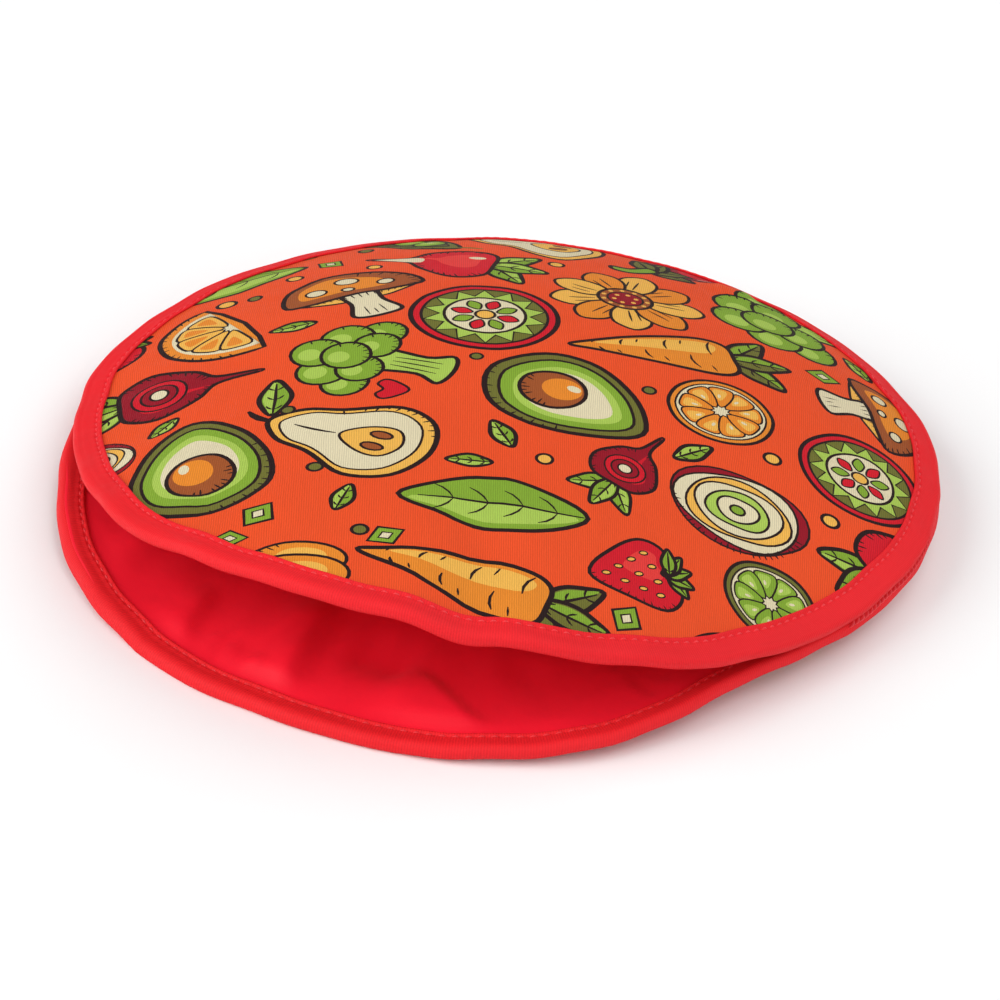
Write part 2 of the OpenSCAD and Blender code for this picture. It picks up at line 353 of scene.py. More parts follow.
ROUND_COLUMNS = 360
DRAPE_COLUMNS = 180
DRAPE_RINGS = 40
DRAPE_FRAMES = 20
SLACK = 0.05                 # how much wider the cloth was cut than its bound edge leaves it
PUSH = 1.0                   # pressure of the padding on the cloth
START_RIPPLE = 0.4 * MM      # unevenness from which the buckles grow
START_WAVES = ((9, 1), (14, 2), (21, 2), (31, 3), (43, 3))
EASE_MOST = 1.6 * MM
HELD_FROM = 0.955            # the binding holds the cloth from here to its edge, and lets go of it
LET_GO = 0.05                # over this share of the radius
CLOTH_SETTINGS = {
    "quality": 6, "mass": 0.15, "air_damping": 2.0, "tension_stiffness": 15, "compression_stiffness": 15,
    "shear_stiffness": 8, "bending_stiffness": 0.02, "use_pressure": True, "vertex_group_mass": "Grip",
    "pin_stiffness": 1.0,
}

# Folds of the lower lining and of the upper cover: where they start and end as (angle, s), their height, and
# their width to the left and to the right, in millimetres. A height below 0 is a hollow.
LINING_FOLDS = (
    ((-27.5, 0.80), (-22.0, 0.95), 1.9, 9.0, 2.6),
    ((-12.5, 0.64), (-6.5, 0.97), 4.0, 17.0, 4.4),
    ((-19.0, 0.87), (-18.0, 0.95), 0.9, 3.2, 1.7),
    ((-15.5, 0.88), (-15.0, 0.95), 1.0, 2.6, 1.7),
    ((-11.5, 0.89), (-11.5, 0.95), 0.8, 2.4, 1.7),
    ((-2.0, 0.74), (7.0, 0.76), -3.0, 10.0, 12.0),
    ((9.0, 0.79), (19.0, 0.97), 3.4, 18.0, 5.0),
    ((26.0, 0.72), (26.0, 0.88), -1.0, 9.0, 14.0),
    ((41.5, 0.83), (43.0, 0.92), -0.8, 2.5, 4.0),
    ((-52.0, 0.70), (-40.0, 0.93), 1.1, 11.0, 9.0),
)
COVER_FOLDS = (
    ((165.0, 0.86), (160.0, 0.93), 2.2, 9.0, 9.0),
    ((-30.0, 0.86), (-28.0, 0.96), 0.7, 7.0, 5.0),
    ((12.0, 0.88), (16.0, 0.96), 0.8, 6.0, 5.0),
)
FOLDS = {(UPPER, 0): COVER_FOLDS, (LOWER, 1): LINING_FOLDS}


def plan(side, place_at):
    a, s = place_at
    return place(s * edge_radius(side, a), a, 0 * a)[..., :2]


def crease(side, s, a, fold):
    """Height of one soft fold."""
    start, end, height, left, right = fold
    along = plan(side, end) - plan(side, start)
    length = np.linalg.norm(along)
    along /= length
    offset = plan(side, (a, s)) - plan(side, start)
    t = offset @ along / length
    across = offset @ np.array([-along[1], along[0]]) / MM
    run = np.clip((t + 0.25) / 0.5, 0, 1) * np.clip((1.25 - t) / 0.5, 0, 1)
    section = np.exp(-(across / np.where(across < 0, left, right)) ** 2)
    return height * MM * section * run * run * (3 - 2 * run)


def bound(s):
    """1 where a cloth is free and 0 where its edge lies in the binding."""
    t = np.clip((HELD_FROM - s) / LET_GO, 0, 1)
    return t * t * (3 - 2 * t)


def draped(side, depth, seed_number):
    """Lays a sheet of cloth, cut a little too wide, on its padding, and gives how it buckles there."""
    disc = flat_disc(DRAPE_COLUMNS, disc_rings(DRAPE_RINGS))
    s, a = disc_places(disc)
    plain = cloth_points(side, s, a, depth)
    chance = np.random.default_rng(seed_number)
    tilt = np.radians(a)
    uneven = sum(chance.uniform(0.3, 1) * np.cos(n * tilt + chance.uniform(0, 6)) * np.cos(k * 9 * s + n)
                 for n, k in START_WAVES)
    start = plain.copy()
    start[:, 2] += uneven * START_RIPPLE * s * s * bound(s)
    move_vertices(disc, start)
    row = np.rint(s * DRAPE_RINGS).astype(int)
    column = np.rint((a + 180) / 360 * DRAPE_COLUMNS).astype(int) % DRAPE_COLUMNS
    start = simulated(disc, plain, s, row, PUSH if depth == COVER_OUT or side == LOWER else -PUSH)
    eased = np.zeros((DRAPE_RINGS + 1, DRAPE_COLUMNS))
    eased[row, column] = (start[:, 2] - plain[:, 2]) * bound(s)
    bpy.data.objects.remove(disc)
    eased -= eased.mean(1, keepdims=True)       # the plain form holds the crown already
    eased[0] = 0
    return np.clip(eased, -EASE_MOST, EASE_MOST)


def simulated(disc, plain, s, row, push):
    """Steps Blender's cloth from the disc's places, and returns where its points come to lie."""
    grip = disc.vertex_groups.new(name="Grip")
    for ring in np.unique(row):
        grip.add(np.nonzero(row == ring)[0].tolist(), 1 - float(bound(ring / DRAPE_RINGS)), "REPLACE")
    disc.shape_key_add(name="Basis")
    cut = disc.shape_key_add(name="Cut")
    middle = plain.mean(0)
    wide = middle + (plain - middle) * (1 + SLACK * s * s)[:, None]
    cut.data.foreach_set("co", wide.ravel())
    cloth = disc.modifiers.new("Cloth", "CLOTH")
    for name, value in CLOTH_SETTINGS.items():
        setattr(cloth.settings, name, value)
    cloth.settings.uniform_pressure_force = push
    cloth.settings.rest_shape_key = cut
    cloth.settings.effector_weights.gravity = 0
    cloth.collision_settings.use_collision = False
    for step in range(1, DRAPE_FRAMES + 1):
        bpy.context.scene.frame_set(step)
    settled = disc.evaluated_get(bpy.context.evaluated_depsgraph_get())
    points = np.empty(3 * len(settled.data.vertices))
    settled.data.vertices.foreach_get("co", points)
    bpy.context.scene.frame_set(1)
    return points.reshape(-1, 3)


def lining(side, columns):
    """The smooth cloth inside a panel, with its folds, cut as a disc."""
    disc = flat_disc(columns, disc_rings(90))
    s, a = disc_places(disc)
    s = s * EDGE_SHARE
    t = np.radians(a)
    flat_map(disc, np.stack([s * np.sin(t), -s * np.cos(t)], -1) * CUT_D / 2)
    move_vertices(disc, cloth_points(side, s, a, LINING_IN))
    if side == UPPER:
        edit(FLIP)
    thicken(disc, LINING_T)
    return settle(disc, f"{side}_inner_cloth")


def batting(side):
    """The pad of a panel: a full disc that thins out at its bound edge."""
    disc = flat_disc(ROUND_COLUMNS, disc_rings(60))
    s, a = disc_places(disc)
    outer = cloth_points(side, s, a, BATTING_OUT)
    inner = cloth_points(side, s, a, BATTING_IN)
    inner[:, 2] += BATTING_SINK * bound(s) * (1 if side == UPPER else -1)
    high, low = (outer, inner) if side == UPPER else (inner, outer)
    move_vertices(disc, high)
    thicken(disc, BATTING_T)
    move_vertices(disc, np.concatenate([high, low]))
    return settle(disc, f"{side}_padding")


# ---- Print ----

INKS = {
    "ground": (237, 82, 38),
    "line": (40, 24, 24),
    "orange": (232, 138, 44),
    "yellow": (240, 182, 82),
    "olive": (112, 112, 48),
    "moss": (84, 86, 42),
    "green": (132, 168, 52),
    "lime": (170, 200, 86),
    "red": (212, 26, 42),
    "rose": (230, 62, 58),
    "maroon": (150, 18, 36),
    "cream": (226, 214, 178),
    "brown": (160, 84, 42),
}


def linear(rgb):
    """Linear values of a colour that is given in sRGB levels."""
    shares = (v / 255 for v in rgb)
    return tuple(x / 12.92 if x <= 0.04045 else ((x + 0.055) / 1.055) ** 2.4 for x in shares)


LINE_W = 1.35       # width of the print's dark line, in millimetres like the rest of the print
CUT_R = CUT_D / MM / 2


def ring_of(rx, ry=None, n=28, at=(0, 0)):
    t = np.arange(n) * 2 * math.pi / n
    return np.stack([at[0] + rx * np.cos(t), at[1] + (ry or rx) * np.sin(t)], -1)


def curve_through(points, n=5):
    """A closed smooth outline through a few points."""
    p = np.array(points, float)
    before, here, there, after = np.roll(p, 1, 0), p, np.roll(p, -1, 0), np.roll(p, -2, 0)
    rows = [0.5 * (2 * here + (there - before) * t + (2 * before - 5 * here + 4 * there - after) * t ** 2
                   + (3 * here - before - 3 * there + after) * t ** 3) for t in np.arange(n) / n]
    return np.stack(rows, 1).reshape(-1, 2)


def grown(outline, by):
    """The outline moved outwards along its own normals."""
    ahead = np.roll(outline, -1, 0) - np.roll(outline, 1, 0)
    normal = np.stack([ahead[:, 1], -ahead[:, 0]], -1)
    normal /= np.maximum(np.linalg.norm(normal, axis=1, keepdims=True), 1e-9)
    area = (outline[:, 0] * np.roll(outline[:, 1], -1) - np.roll(outline[:, 0], -1) * outline[:, 1]).sum()
    return outline + normal * (by if area > 0 else -by)


def inked(outline, ink, width=LINE_W):
    """An outline's dark line, and the ink inside it."""
    return [(grown(outline, width / 2), "line"), (grown(outline, -width / 2), ink)]


def lit(outline, ink, share=0.74, shift=(-1.4, 1.2)):
    """A patch in a second tone inside an outline."""
    middle = outline.mean(0)
    return [((outline - middle) * share + middle + np.array(shift), ink)]


def stroke(path, width=0.8, ink="line"):
    """A stroke along a few points, thinning towards its ends."""
    p = np.array(path, float)
    ahead = np.gradient(p, axis=0)
    side = np.stack([-ahead[:, 1], ahead[:, 0]], -1)
    side /= np.maximum(np.linalg.norm(side, axis=1, keepdims=True), 1e-9)
    half = width / 2 * (0.4 + 0.6 * np.sin(np.linspace(0, math.pi, len(p))))[:, None]
    return [(np.concatenate([p + side * half, (p - side * half)[::-1]]), ink)]


def line(start, end, width=0.8, bow=0.0, n=5, ink="line"):
    """A stroke along a bowed line of n points."""
    t = np.linspace(0, 1, n)[:, None]
    a, b = np.array(start, float), np.array(end, float)
    across = np.array([-(b - a)[1], (b - a)[0]])
    return stroke(a + (b - a) * t + across * bow * 4 * t * (1 - t), width, ink)


def even(points, n=5):
    """A smooth outline through points and their mirror images across the y axis."""
    return curve_through(points + [(-x, y) for x, y in points[::-1] if x], n)


def ticks(outline, first, last, count, length=2.6, width=0.55):
    """Short strokes from an outline inwards, which shade one side of a form."""
    middle = outline.mean(0)
    shapes = []
    for k, share in enumerate(np.linspace(first, last, count)):
        p = outline[int(share * len(outline)) % len(outline)]
        inwards = (middle - p) / np.linalg.norm(middle - p)
        reach = length * (0.65 + 0.35 * (k % 2))
        shapes += stroke([p, p + inwards * reach / 2, p + inwards * reach], width)
    return shapes


def spin(angle):
    c, s = math.cos(math.radians(angle)), math.sin(math.radians(angle))
    return np.array([[c, s], [-s, c]])


def turned(shapes, angle, move=(0, 0), scale=1.0):
    return [(outline @ spin(angle) * scale + np.array(move), ink) for outline, ink in shapes]


def leaf(length=46, width=20, ink="green", light="lime", veins=4):
    half = length / 2
    upper = [(-half, 0), (-half * 0.5, width * 0.4), (0, width * 0.52), (half * 0.5, width * 0.36), (half, 0)]
    lower = [(x, -y) for x, y in upper[-2:0:-1]]
    shapes = inked(curve_through(upper + lower), ink)
    if veins > 2:
        shapes += [(curve_through([(x * 0.86, max(y * 0.76, 0.3)) for x, y in upper], 4), light)]
    shapes += line((-half * 0.96, 0), (half * 0.8, 0), 0.9)
    for k in range(veins):
        x = half * (-0.66 + 1.1 * k / max(veins - 1, 1))
        for up in (1, -1):
            shapes += line((x, up * 0.3), (x + length * 0.1, up * width * 0.26), 0.65, 0.1 * up, 4)
    return shapes


def leaf_tuft(y, ink="green", light="lime", size=1.0):
    shapes = []
    for lean in (46, -46, 0):
        shapes += turned(leaf(19, 8, ink, light, 3), 90 + lean,
                         (-math.sin(math.radians(lean)) * 7.5, y + 7 - abs(lean) * 0.04), size)
    return shapes


def avocado():
    skin = even([(0, -22), (13, -15), (16, -2), (10, 13), (0, 21)])
    shapes = inked(skin, "olive") + inked(skin * 0.84, "green", 0.8)
    shapes += [(skin * 0.68, "lime"), (skin * 0.56, "cream")]
    stone = ring_of(7.8, 8.4, 30, (0, -5))
    shapes += inked(stone, "brown", 1.0) + lit(stone, "orange", 0.6, (-1.6, 1.8))
    shapes += ticks(stone, 0.72, 1.05, 9)
    return shapes + ticks(skin, 0.02, 0.3, 14, 2.0) + [(ring_of(1.3, 1.9, 10, (-3.6, -1)), "cream")]


def citrus(rind="olive", flesh="green", light="lime"):
    shapes = inked(ring_of(18, n=44), rind) + inked(ring_of(15.6, n=40), "cream", 0.7)
    for k in range(9):
        piece = curve_through([(2.4, 0), (8.6, 3.9), (13.2, 4.0), (14.2, 0), (13.2, -4.0), (8.6, -3.9)], 3)
        shapes += turned(inked(piece, flesh, 0.7) + lit(piece, light, 0.56, (0.6, 0.4))
                         + [(ring_of(1.2, 0.6, 7, (9, 0.6)), "cream")], 40 * k)
    return shapes


def orange_slice():
    return citrus("orange", "orange", "yellow")


def onion():
    shapes = []
    t = np.arange(36) * math.pi / 18
    for r, ink in ((18, "maroon"), (16.2, "cream"), (13.6, "yellow"), (11.4, "cream"), (8.2, "lime"),
                   (5.4, "cream")):
        reach = r * (1 + 0.05 * np.cos(3 * t + r) + 0.04 * np.cos(2 * t))
        shapes += inked(np.stack([reach * np.cos(t), 0.86 * reach * np.sin(t)], -1), ink, 0.7)
    shapes += ticks(ring_of(18, 16.2, 60), 0.52, 0.98, 24, 2.4)
    return shapes + inked(ring_of(2, 1.7, 12), "green", 0.7)


def root(ink, light):
    bulb = even([(0, 11), (9, 10), (13, 2), (8, -8), (2, -13.5), (0.6, -24)])
    return bulb, leaf_tuft(10) + inked(bulb, ink) + lit(bulb, light, 0.5, (-2.2, 3.4))


def radish():
    bulb, shapes = root("red", "rose")
    shapes += [(curve_through([(2.2, -11), (0.3, -22), (-0.3, -22), (-2.2, -11), (0, -9)], 3), "cream")]
    shapes += ticks(bulb, 0.1, 0.34, 12, 3) + ticks(bulb, 0.66, 0.86, 10, 2.4)
    return shapes + [(ring_of(1.3, 2.6, 10, (-6, 5)), "cream")]


def beet():
    bulb, shapes = root("maroon", "red")
    for r, ink in ((7.8, "red"), (5.2, "maroon"), (2.6, "cream")):
        shapes += inked(ring_of(r, r * 0.9, 22, (0, 1)), ink, 0.7)
    return shapes + ticks(bulb, 0.1, 0.36, 12, 2.6) + ticks(bulb, 0.64, 0.9, 12, 2.2)


def carrot():
    body = even([(0, 20), (7, 19), (9.4, 12), (6.6, -4), (2.6, -18), (0, -25)])
    shapes = leaf_tuft(19, "olive", "green") + inked(body, "orange")
    shine = curve_through([(-5.6, 16), (-7.4, 11), (-5, -4), (-1.4, -18), (-0.6, -4), (-1, 12)])
    shapes += [(shine, "yellow")]
    for k in range(6):
        y = 15 - 6.2 * k
        side = 1 if k % 2 else -1
        shapes += line((side * (8.2 - 1.1 * k), y), (side * 0.8, y - 1.2), 0.8, side * 0.12, 4)
        shapes += line((-side * (8 - 1.1 * k), y - 2), (-side * (5.2 - 0.8 * k), y - 2.8), 0.6, n=3)
    return shapes


def garlic():
    bulb = even([(0, 22), (2.4, 13), (11, 7), (16, -4), (10, -14), (0, -16)])
    shade = curve_through([(4, 10), (12, 4), (14.4, -4), (9, -12.6), (8, -4)], 4)
    shapes = inked(bulb, "cream") + [(shade, "yellow")]
    for x in (-9.5, -3.4, 3.4, 9.5):
        shapes += line((x * 0.24, 12), (x * 0.7, -14.4), 0.85, x * 0.022, 7)
    for x in (-3, -1, 1, 3):
        shapes += line((x, -15.4), (x * 1.5, -18.6), 0.7, n=3, ink="brown")
    return shapes + ticks(bulb, 0.34, 0.46, 8, 2.6)


def mushroom():
    stem = curve_through([(-5, 1), (-4.4, -8), (-6.6, -16), (0, -18), (6.6, -16), (4.4, -8), (5, 1), (0, 3)])
    gills = curve_through([(-17, 0), (-8, -5), (0, -6), (8, -5), (17, 0), (0, 3)])
    cap = curve_through([(-19, 0), (-15, 10), (0, 17), (15, 10), (19, 0), (9, -1.6), (0, -1), (-9, -1.6)])
    shapes = inked(gills, "yellow", 0.9) + inked(stem, "cream")
    for k in range(-6, 7):
        shapes += line((k * 2.2, -0.8), (k * 1.9, -4.4 + abs(k) * 0.3), 0.5, n=3)
    shapes += inked(cap, "brown") + lit(cap, "orange", 0.66, (-1.6, 1.6)) + ticks(cap, 0.3, 0.56, 13, 3)
    for x, y, r in ((-9, 5.4, 2.8), (1, 10, 3.2), (10, 4.6, 2.4), (-1, 3.4, 1.7)):
        shapes += inked(ring_of(r, r * 0.8, 14, (x, y)), "cream", 0.7)
    for k in (-2, 0, 2):
        shapes += line((k, -13 + abs(k)), (k * 1.2, -16.4), 0.5, n=3)
    return shapes


def pea_pod():
    pod = curve_through([(-30, 0), (-19, 8), (0, 10), (19, 8), (30, 2.4), (21, -6.4), (0, -9.4), (-19, -7.2)])
    shapes = inked(pod, "olive") + inked(pod * np.array([0.88, 0.72]), "moss", 0.7)
    for k in range(6):
        pea = ring_of(4.5, 4.9, 20, (-19 + 7.6 * k, 0.5 + 0.25 * k))
        shapes += inked(pea, "green", 0.9) + lit(pea, "lime", 0.62, (-0.7, 0.8))
        shapes += [(ring_of(0.8, 1.1, 8, tuple(pea.mean(0) + (-1.6, 1.8))), "cream")]
    return shapes + ticks(pod, 0.56, 0.94, 22, 2.0) + line((29, 2), (35, 7), 1.4, 0.15, ink="olive")


def blossom():
    shapes = []
    for k in range(9):
        petal = curve_through([(4, 0), (9, 4.4), (16, 4.6), (20, 0), (16, -4.6), (9, -4.4)], 4)
        shapes += turned(inked(petal, "orange" if k % 2 else "yellow", 0.9)
                         + line((8, 0), (15, 0), 0.6) + line((9, 2), (14, 2.4), 0.5), 40 * k)
    shapes += inked(ring_of(7, n=26), "brown", 1.0) + inked(ring_of(4.6, n=20), "maroon", 0.6)
    for n, r in ((6, 2.9), (11, 5.7)):
        shapes += [(ring_of(0.7, n=6, at=spot), "yellow") for spot in ring_of(r, n=n)]
    return shapes


def rosette():
    """A plate with bands of triangles."""
    shapes = inked(ring_of(19, n=48), "red") + inked(ring_of(16.4, n=44), "olive", 0.8)
    t = np.arange(28) * math.pi / 14
    reach = np.where(np.arange(28) % 2, 16, 11.8)
    rays = np.stack([reach * np.cos(t), reach * np.sin(t)], -1)
    shapes += inked(rays, "lime", 0.7) + inked(ring_of(10.6, n=34), "cream", 0.9)
    for k in range(8):
        drop = curve_through([(3.4, 0), (6.4, 1.9), (9.2, 0), (6.4, -1.9)], 4)
        shapes += turned(inked(drop, "red" if k % 2 else "green", 0.6), 45 * k)
    return shapes + inked(ring_of(2.6, n=14), "yellow", 0.8)


def strawberry():
    fruit = even([(0, 10), (10, 12), (15.4, 4), (10, -9), (0, -19)])
    shapes = inked(fruit, "red") + lit(fruit, "rose", 0.44, (-3.6, 2.4)) + ticks(fruit, 0.2, 0.5, 16, 2.6)
    for x, y in ((-9, 4), (-3, 5), (3.4, 5), (9, 4), (-6.4, -1.6), (0, -1), (6.4, -1.6),
                 (-3.4, -7.4), (3.4, -7.4), (0, -13)):
        shapes += inked(ring_of(0.95, 1.6, 9, (x, y)), "yellow", 0.55)
    for lean in (-72, -36, 0, 36, 72):
        shapes += turned(leaf(12, 5.4, "green", "lime", 1), 90 + lean,
                         (-math.sin(math.radians(lean)) * 5, 11.6 + math.cos(math.radians(lean)) * 2))
    return shapes


def pear():
    skin = even([(0, -21), (12, -17), (16, -7), (9.4, 5), (6.6, 14), (0, 20)])
    shapes = inked(skin, "yellow") + inked(skin * 0.84, "cream", 0.6)
    shapes += inked(even([(0, -14), (6, -11), (5, -4), (0, 1)]), "yellow", 0.7)
    for k in (-1, 1):
        shapes += inked(ring_of(1.5, 2.7, 12, (k * 2.6, -8)), "brown", 0.7)
    shapes += line((0, 2), (0, 13), 0.8, 0.03) + ticks(skin, 0.06, 0.3, 12, 2.2)
    stem = line((0, 18), (2.6, 27), 2.0, 0.1)
    return stem + shapes + turned(leaf(17, 7.4, "green", "lime", 3), 26, (10, 24))


def wedge():
    rind = np.concatenate([ring_of(19, n=44)[:23], [(-12, -1.6), (0, -2.6), (12, -1.6)]])
    shapes = inked(rind, "orange") + [(ring_of(16, n=44)[:23], "cream")]
    for k in range(5):
        piece = curve_through([(2, 0), (8, 3), (13, 3.9), (14, 0), (13, -3.9), (8, -3)], 3)
        piece = inked(piece, "yellow", 0.7) + lit(piece, "orange", 0.5, (0.6, -0.3))
        shapes += turned(piece, 18 + 36 * k, (0, 0.8))
    return shapes + ticks(rind, 0.05, 0.75, 26, 1.9)


def aubergine():
    body = curve_through([(0, 15), (8, 11), (11, 0), (13, -12), (7, -22), (-4, -23), (-12, -15), (-11, -2),
                          (-7, 10)])
    shapes = inked(body, "maroon") + lit(body, "red", 0.5, (-2.4, 0)) + ticks(body, 0.06, 0.5, 26, 3)
    shapes += line((-6.6, 4), (-8.4, -12), 1.5, -0.12, 7, ink="cream")
    for lean in (-64, -24, 24, 64):
        shapes += turned(leaf(14, 6.4, "olive", "green", 1), 270 + lean,
                         (math.sin(math.radians(lean)) * 5.4, 14 - math.cos(math.radians(lean)) * 3))
    stalk = curve_through([(-2, 14), (-1.4, 22), (3, 25), (5.6, 23.4), (2.4, 20), (2.2, 14)])
    return shapes + inked(stalk, "green")


def broccoli():
    shapes = inked(even([(-5, 2), (-4.4, -12), (-7, -19), (0, -21)]), "lime")
    for k in (-1, 0, 1):
        shapes += line((k * 2, -4), (k * 2.6, -17), 0.6, n=4)
    for x, y, r in ((-14, 4, 6.6), (14, 4, 6.6), (-9, 12, 7.4), (9, 12, 7.4), (0, 17, 7.4),
                    (-6, 3, 6.6), (7, 3, 6.6), (0, 9, 7)):
        head = ring_of(r, r * 0.94, 20, (x, y))
        shapes += inked(head, "green", 1.0) + lit(head, "lime", 0.44, (-1.4, 1.6))
        shapes += ticks(head, 0.7, 1.1, 8, 2)
    return shapes


def pumpkin():
    shapes = line((0, 11), (4, 21), 3.6, 0.2) + line((0, 12), (3.8, 20), 2.2, 0.2, ink="olive")
    for x, rx in ((-13, 7.4), (13, 7.4), (-7, 8), (7, 8), (0, 7.6)):
        rib = ring_of(rx, 14.5 - abs(x) * 0.12, 30, (x, -1))
        shapes += inked(rib, "orange", 1.0) + lit(rib, "yellow", 0.5, (-1.2, 1.4))
        shapes += ticks(rib, 0.58, 0.92, 9, 2.8)
    return shapes


def wheat():
    shapes = line((0, -26), (0, 18), 1.6, 0.02)
    for k in range(6):
        for side in (-1, 1):
            grain = curve_through([(0, 0), (3.2, 3), (3, 8.6), (0, 11.6), (-2.4, 7), (-2, 2.4)], 4)
            shapes += turned(inked(grain, "yellow", 0.8) + lit(grain, "orange", 0.5, (0.4, 0))
                             + line((0, 3), (0.2, 8), 0.5, n=3), -side * 34, (side * 1.2, -10 + 5.6 * k))
    shapes += turned(leaf(22, 6, "olive", "green", 3), 120, (-6, -15))
    return shapes + turned(leaf(20, 6, "green"), 50, (7, -19))


def heart():
    return inked(even([(0, 2.6), (3.2, 4.8), (6, 2.6), (4.4, -1.8), (0, -6)], 4), "red", 1.0)


def lozenge():
    corners = np.array([(4.6, 0), (0, 5.8), (-4.6, 0), (0, -5.8)], float)
    return inked(corners, "green", 1.1) + inked(corners * 0.4, "cream", 0.7)


def bead():
    return inked(ring_of(2.9, n=16), "yellow", 1.2)


def seed():
    return inked(ring_of(2.3, n=14), "olive", 1.0)


def button():
    return inked(ring_of(4.3, n=20), "lime", 1.0) + inked(ring_of(2.0, n=12), "red", 0.8)


def sprig():
    return leaf(14, 6.4, "green", "lime", 3)


GOLDEN_ANGLE = math.pi * (3 - math.sqrt(5))
LARGE_MOTIFS = (avocado, carrot, citrus, mushroom, aubergine, pea_pod, strawberry, rosette, broccoli, pear,
                leaf, onion, pumpkin, wheat, garlic, beet, orange_slice, blossom, radish, wedge)
SMALL_MOTIFS = (lozenge, sprig, button, bead, seed, heart)
LARGE_COUNT = 42
LARGE_TRIES = 50
LARGE_SCALES = (0.95, 1.5)
LARGE_SHIFT = 13.0
GAP_WORTH = 12.0
SCALE_WORTH = 30.0
SMALL_TRIES = 700
LARGE_GAP = 2.2
SMALL_GAP = 2.0
GROUND_CELL = 3.6
SLIVER = 3e-6       # triangles thinner than this are dissolved, in metres


def dark_points(shapes, most=70):
    """A few points of a motif's dark outlines."""
    rim = np.concatenate([outline for outline, ink in shapes if ink == "line"])
    return rim[::max(1, len(rim) // most)]


def holds(outline, points):
    """Which of the points lie inside an outline."""
    x, y = outline[:, 0], outline[:, 1]
    x2, y2 = np.roll(x, -1), np.roll(y, -1)
    rise = np.where(y2 == y, 1e-12, y2 - y)
    px, py = points[:, :1], points[:, 1:]
    crossing = (y > py) != (y2 > py)
    return (crossing & (x + (x2 - x) * (py - y) / rise > px)).sum(1) % 2 == 1


def outer_points(shapes, most=90):
    """Points round the outlines that a motif shows from outside, which are enough to measure a gap."""
    hulls = [outline for outline, ink in shapes if ink == "line" and np.ptp(outline, axis=0).max() > 7]
    rim = np.concatenate([np.concatenate([h, (h + np.roll(h, -1, 0)) / 2]) for h in hulls])
    middle = (rim.min(0) + rim.max(0)) / 2
    ray = np.degrees(np.arctan2(*(rim - middle).T)).astype(int) // 8
    reach = np.linalg.norm(rim - middle, axis=1)
    far = np.array([reach[ray == k].max() if (ray == k).any() else 0 for k in range(-23, 24)])
    kept = rim[reach > 0.7 * far[ray + 23]]
    return kept[::max(1, len(kept) // most)]


def nearest(points, taken):
    squares = (points ** 2).sum(1)[:, None] + (taken ** 2).sum(1) - 2 * points @ taken.T
    return math.sqrt(max(squares.min(), 0))


def print_layout(seed_number):
    """Motifs over the whole cut disc: large ones along a sunflower spiral, and small ones between them."""
    chance = np.random.default_rng(seed_number)
    shapes, taken = [], np.full((1, 2), 1e3)
    for k in range(LARGE_COUNT):
        r = (CUT_R + 4) * math.sqrt((k + 0.5) / LARGE_COUNT)
        t = k * GOLDEN_ANGLE
        motif = LARGE_MOTIFS[7 * k % len(LARGE_MOTIFS)]()
        rim = outer_points(motif)
        best = None
        for _ in range(LARGE_TRIES):
            scale = chance.uniform(*LARGE_SCALES)
            angle = chance.uniform(0, 360)
            move = (r * math.cos(t), r * math.sin(t)) + chance.uniform(-LARGE_SHIFT, LARGE_SHIFT, 2)
            trial = turned([(rim, "line")], angle, move, scale)[0][0]
            gap = nearest(trial[::3], taken)
            worth = min(gap, LARGE_GAP + 1) * GAP_WORTH + SCALE_WORTH * scale
            if gap > LARGE_GAP * 0.8 and (best is None or worth > best[0]):
                gap = nearest(trial, taken)
                if gap > LARGE_GAP:
                    best = (worth, angle, move, scale, trial)
        if best:
            shapes += turned(motif, *best[1:4])
            taken = np.concatenate([taken, best[4]])
    r = CUT_R * np.sqrt(chance.uniform(size=SMALL_TRIES))
    t = chance.uniform(0, 2 * math.pi, SMALL_TRIES)
    spots = np.stack([r * np.cos(t), r * np.sin(t)], -1)
    spins, scales = chance.uniform(0, 360, SMALL_TRIES), chance.uniform(0.95, 1.25, SMALL_TRIES)
    rims = [outline for outline, ink in shapes if ink == "line" and len(outline) > 12]
    free = ~sum(holds(rim, spots) for rim in rims).astype(bool)
    for k in np.nonzero(free)[0]:
        if nearest(spots[k:k + 1], taken) < SMALL_GAP + 2.5:
            continue
        make = SMALL_MOTIFS[min(8 * k // SMALL_TRIES, len(SMALL_MOTIFS) - 1)]
        trial = turned(make(), spins[k], spots[k], scales[k])
        rim = dark_points(trial, 30)
        if nearest(rim, taken) > SMALL_GAP:
            shapes += trial
            taken = np.concatenate([taken, rim])
    return shapes


def ground_points():
    """The cut edge, and a net of points over the cloth."""
    points = [ring_of(CUT_R, n=ROUND_COLUMNS)]
    pitch = GROUND_CELL * math.sqrt(3) / 2
    rows = int(CUT_R / pitch)
    for j in range(-rows, rows + 1):
        x = (np.arange(-rows, rows + 1) + 0.5 * (j % 2)) * GROUND_CELL
        row = np.stack([x, np.full(len(x), j * pitch)], -1)
        points.append(row[np.linalg.norm(row, axis=1) < CUT_R - 1.5])
    return np.concatenate(points)


def thinned(outline):
    """An outline without the points that hardly bend it."""
    for _ in range(2):
        ahead, back = np.roll(outline, -1, 0) - outline, outline - np.roll(outline, 1, 0)
        spare = np.abs(back[:, 0] * ahead[:, 1] - back[:, 1] * ahead[:, 0]) < 0.07
        spare[1::2] = False
        if len(outline) - spare.sum() > 5:
            outline = outline[~spare]
    return outline


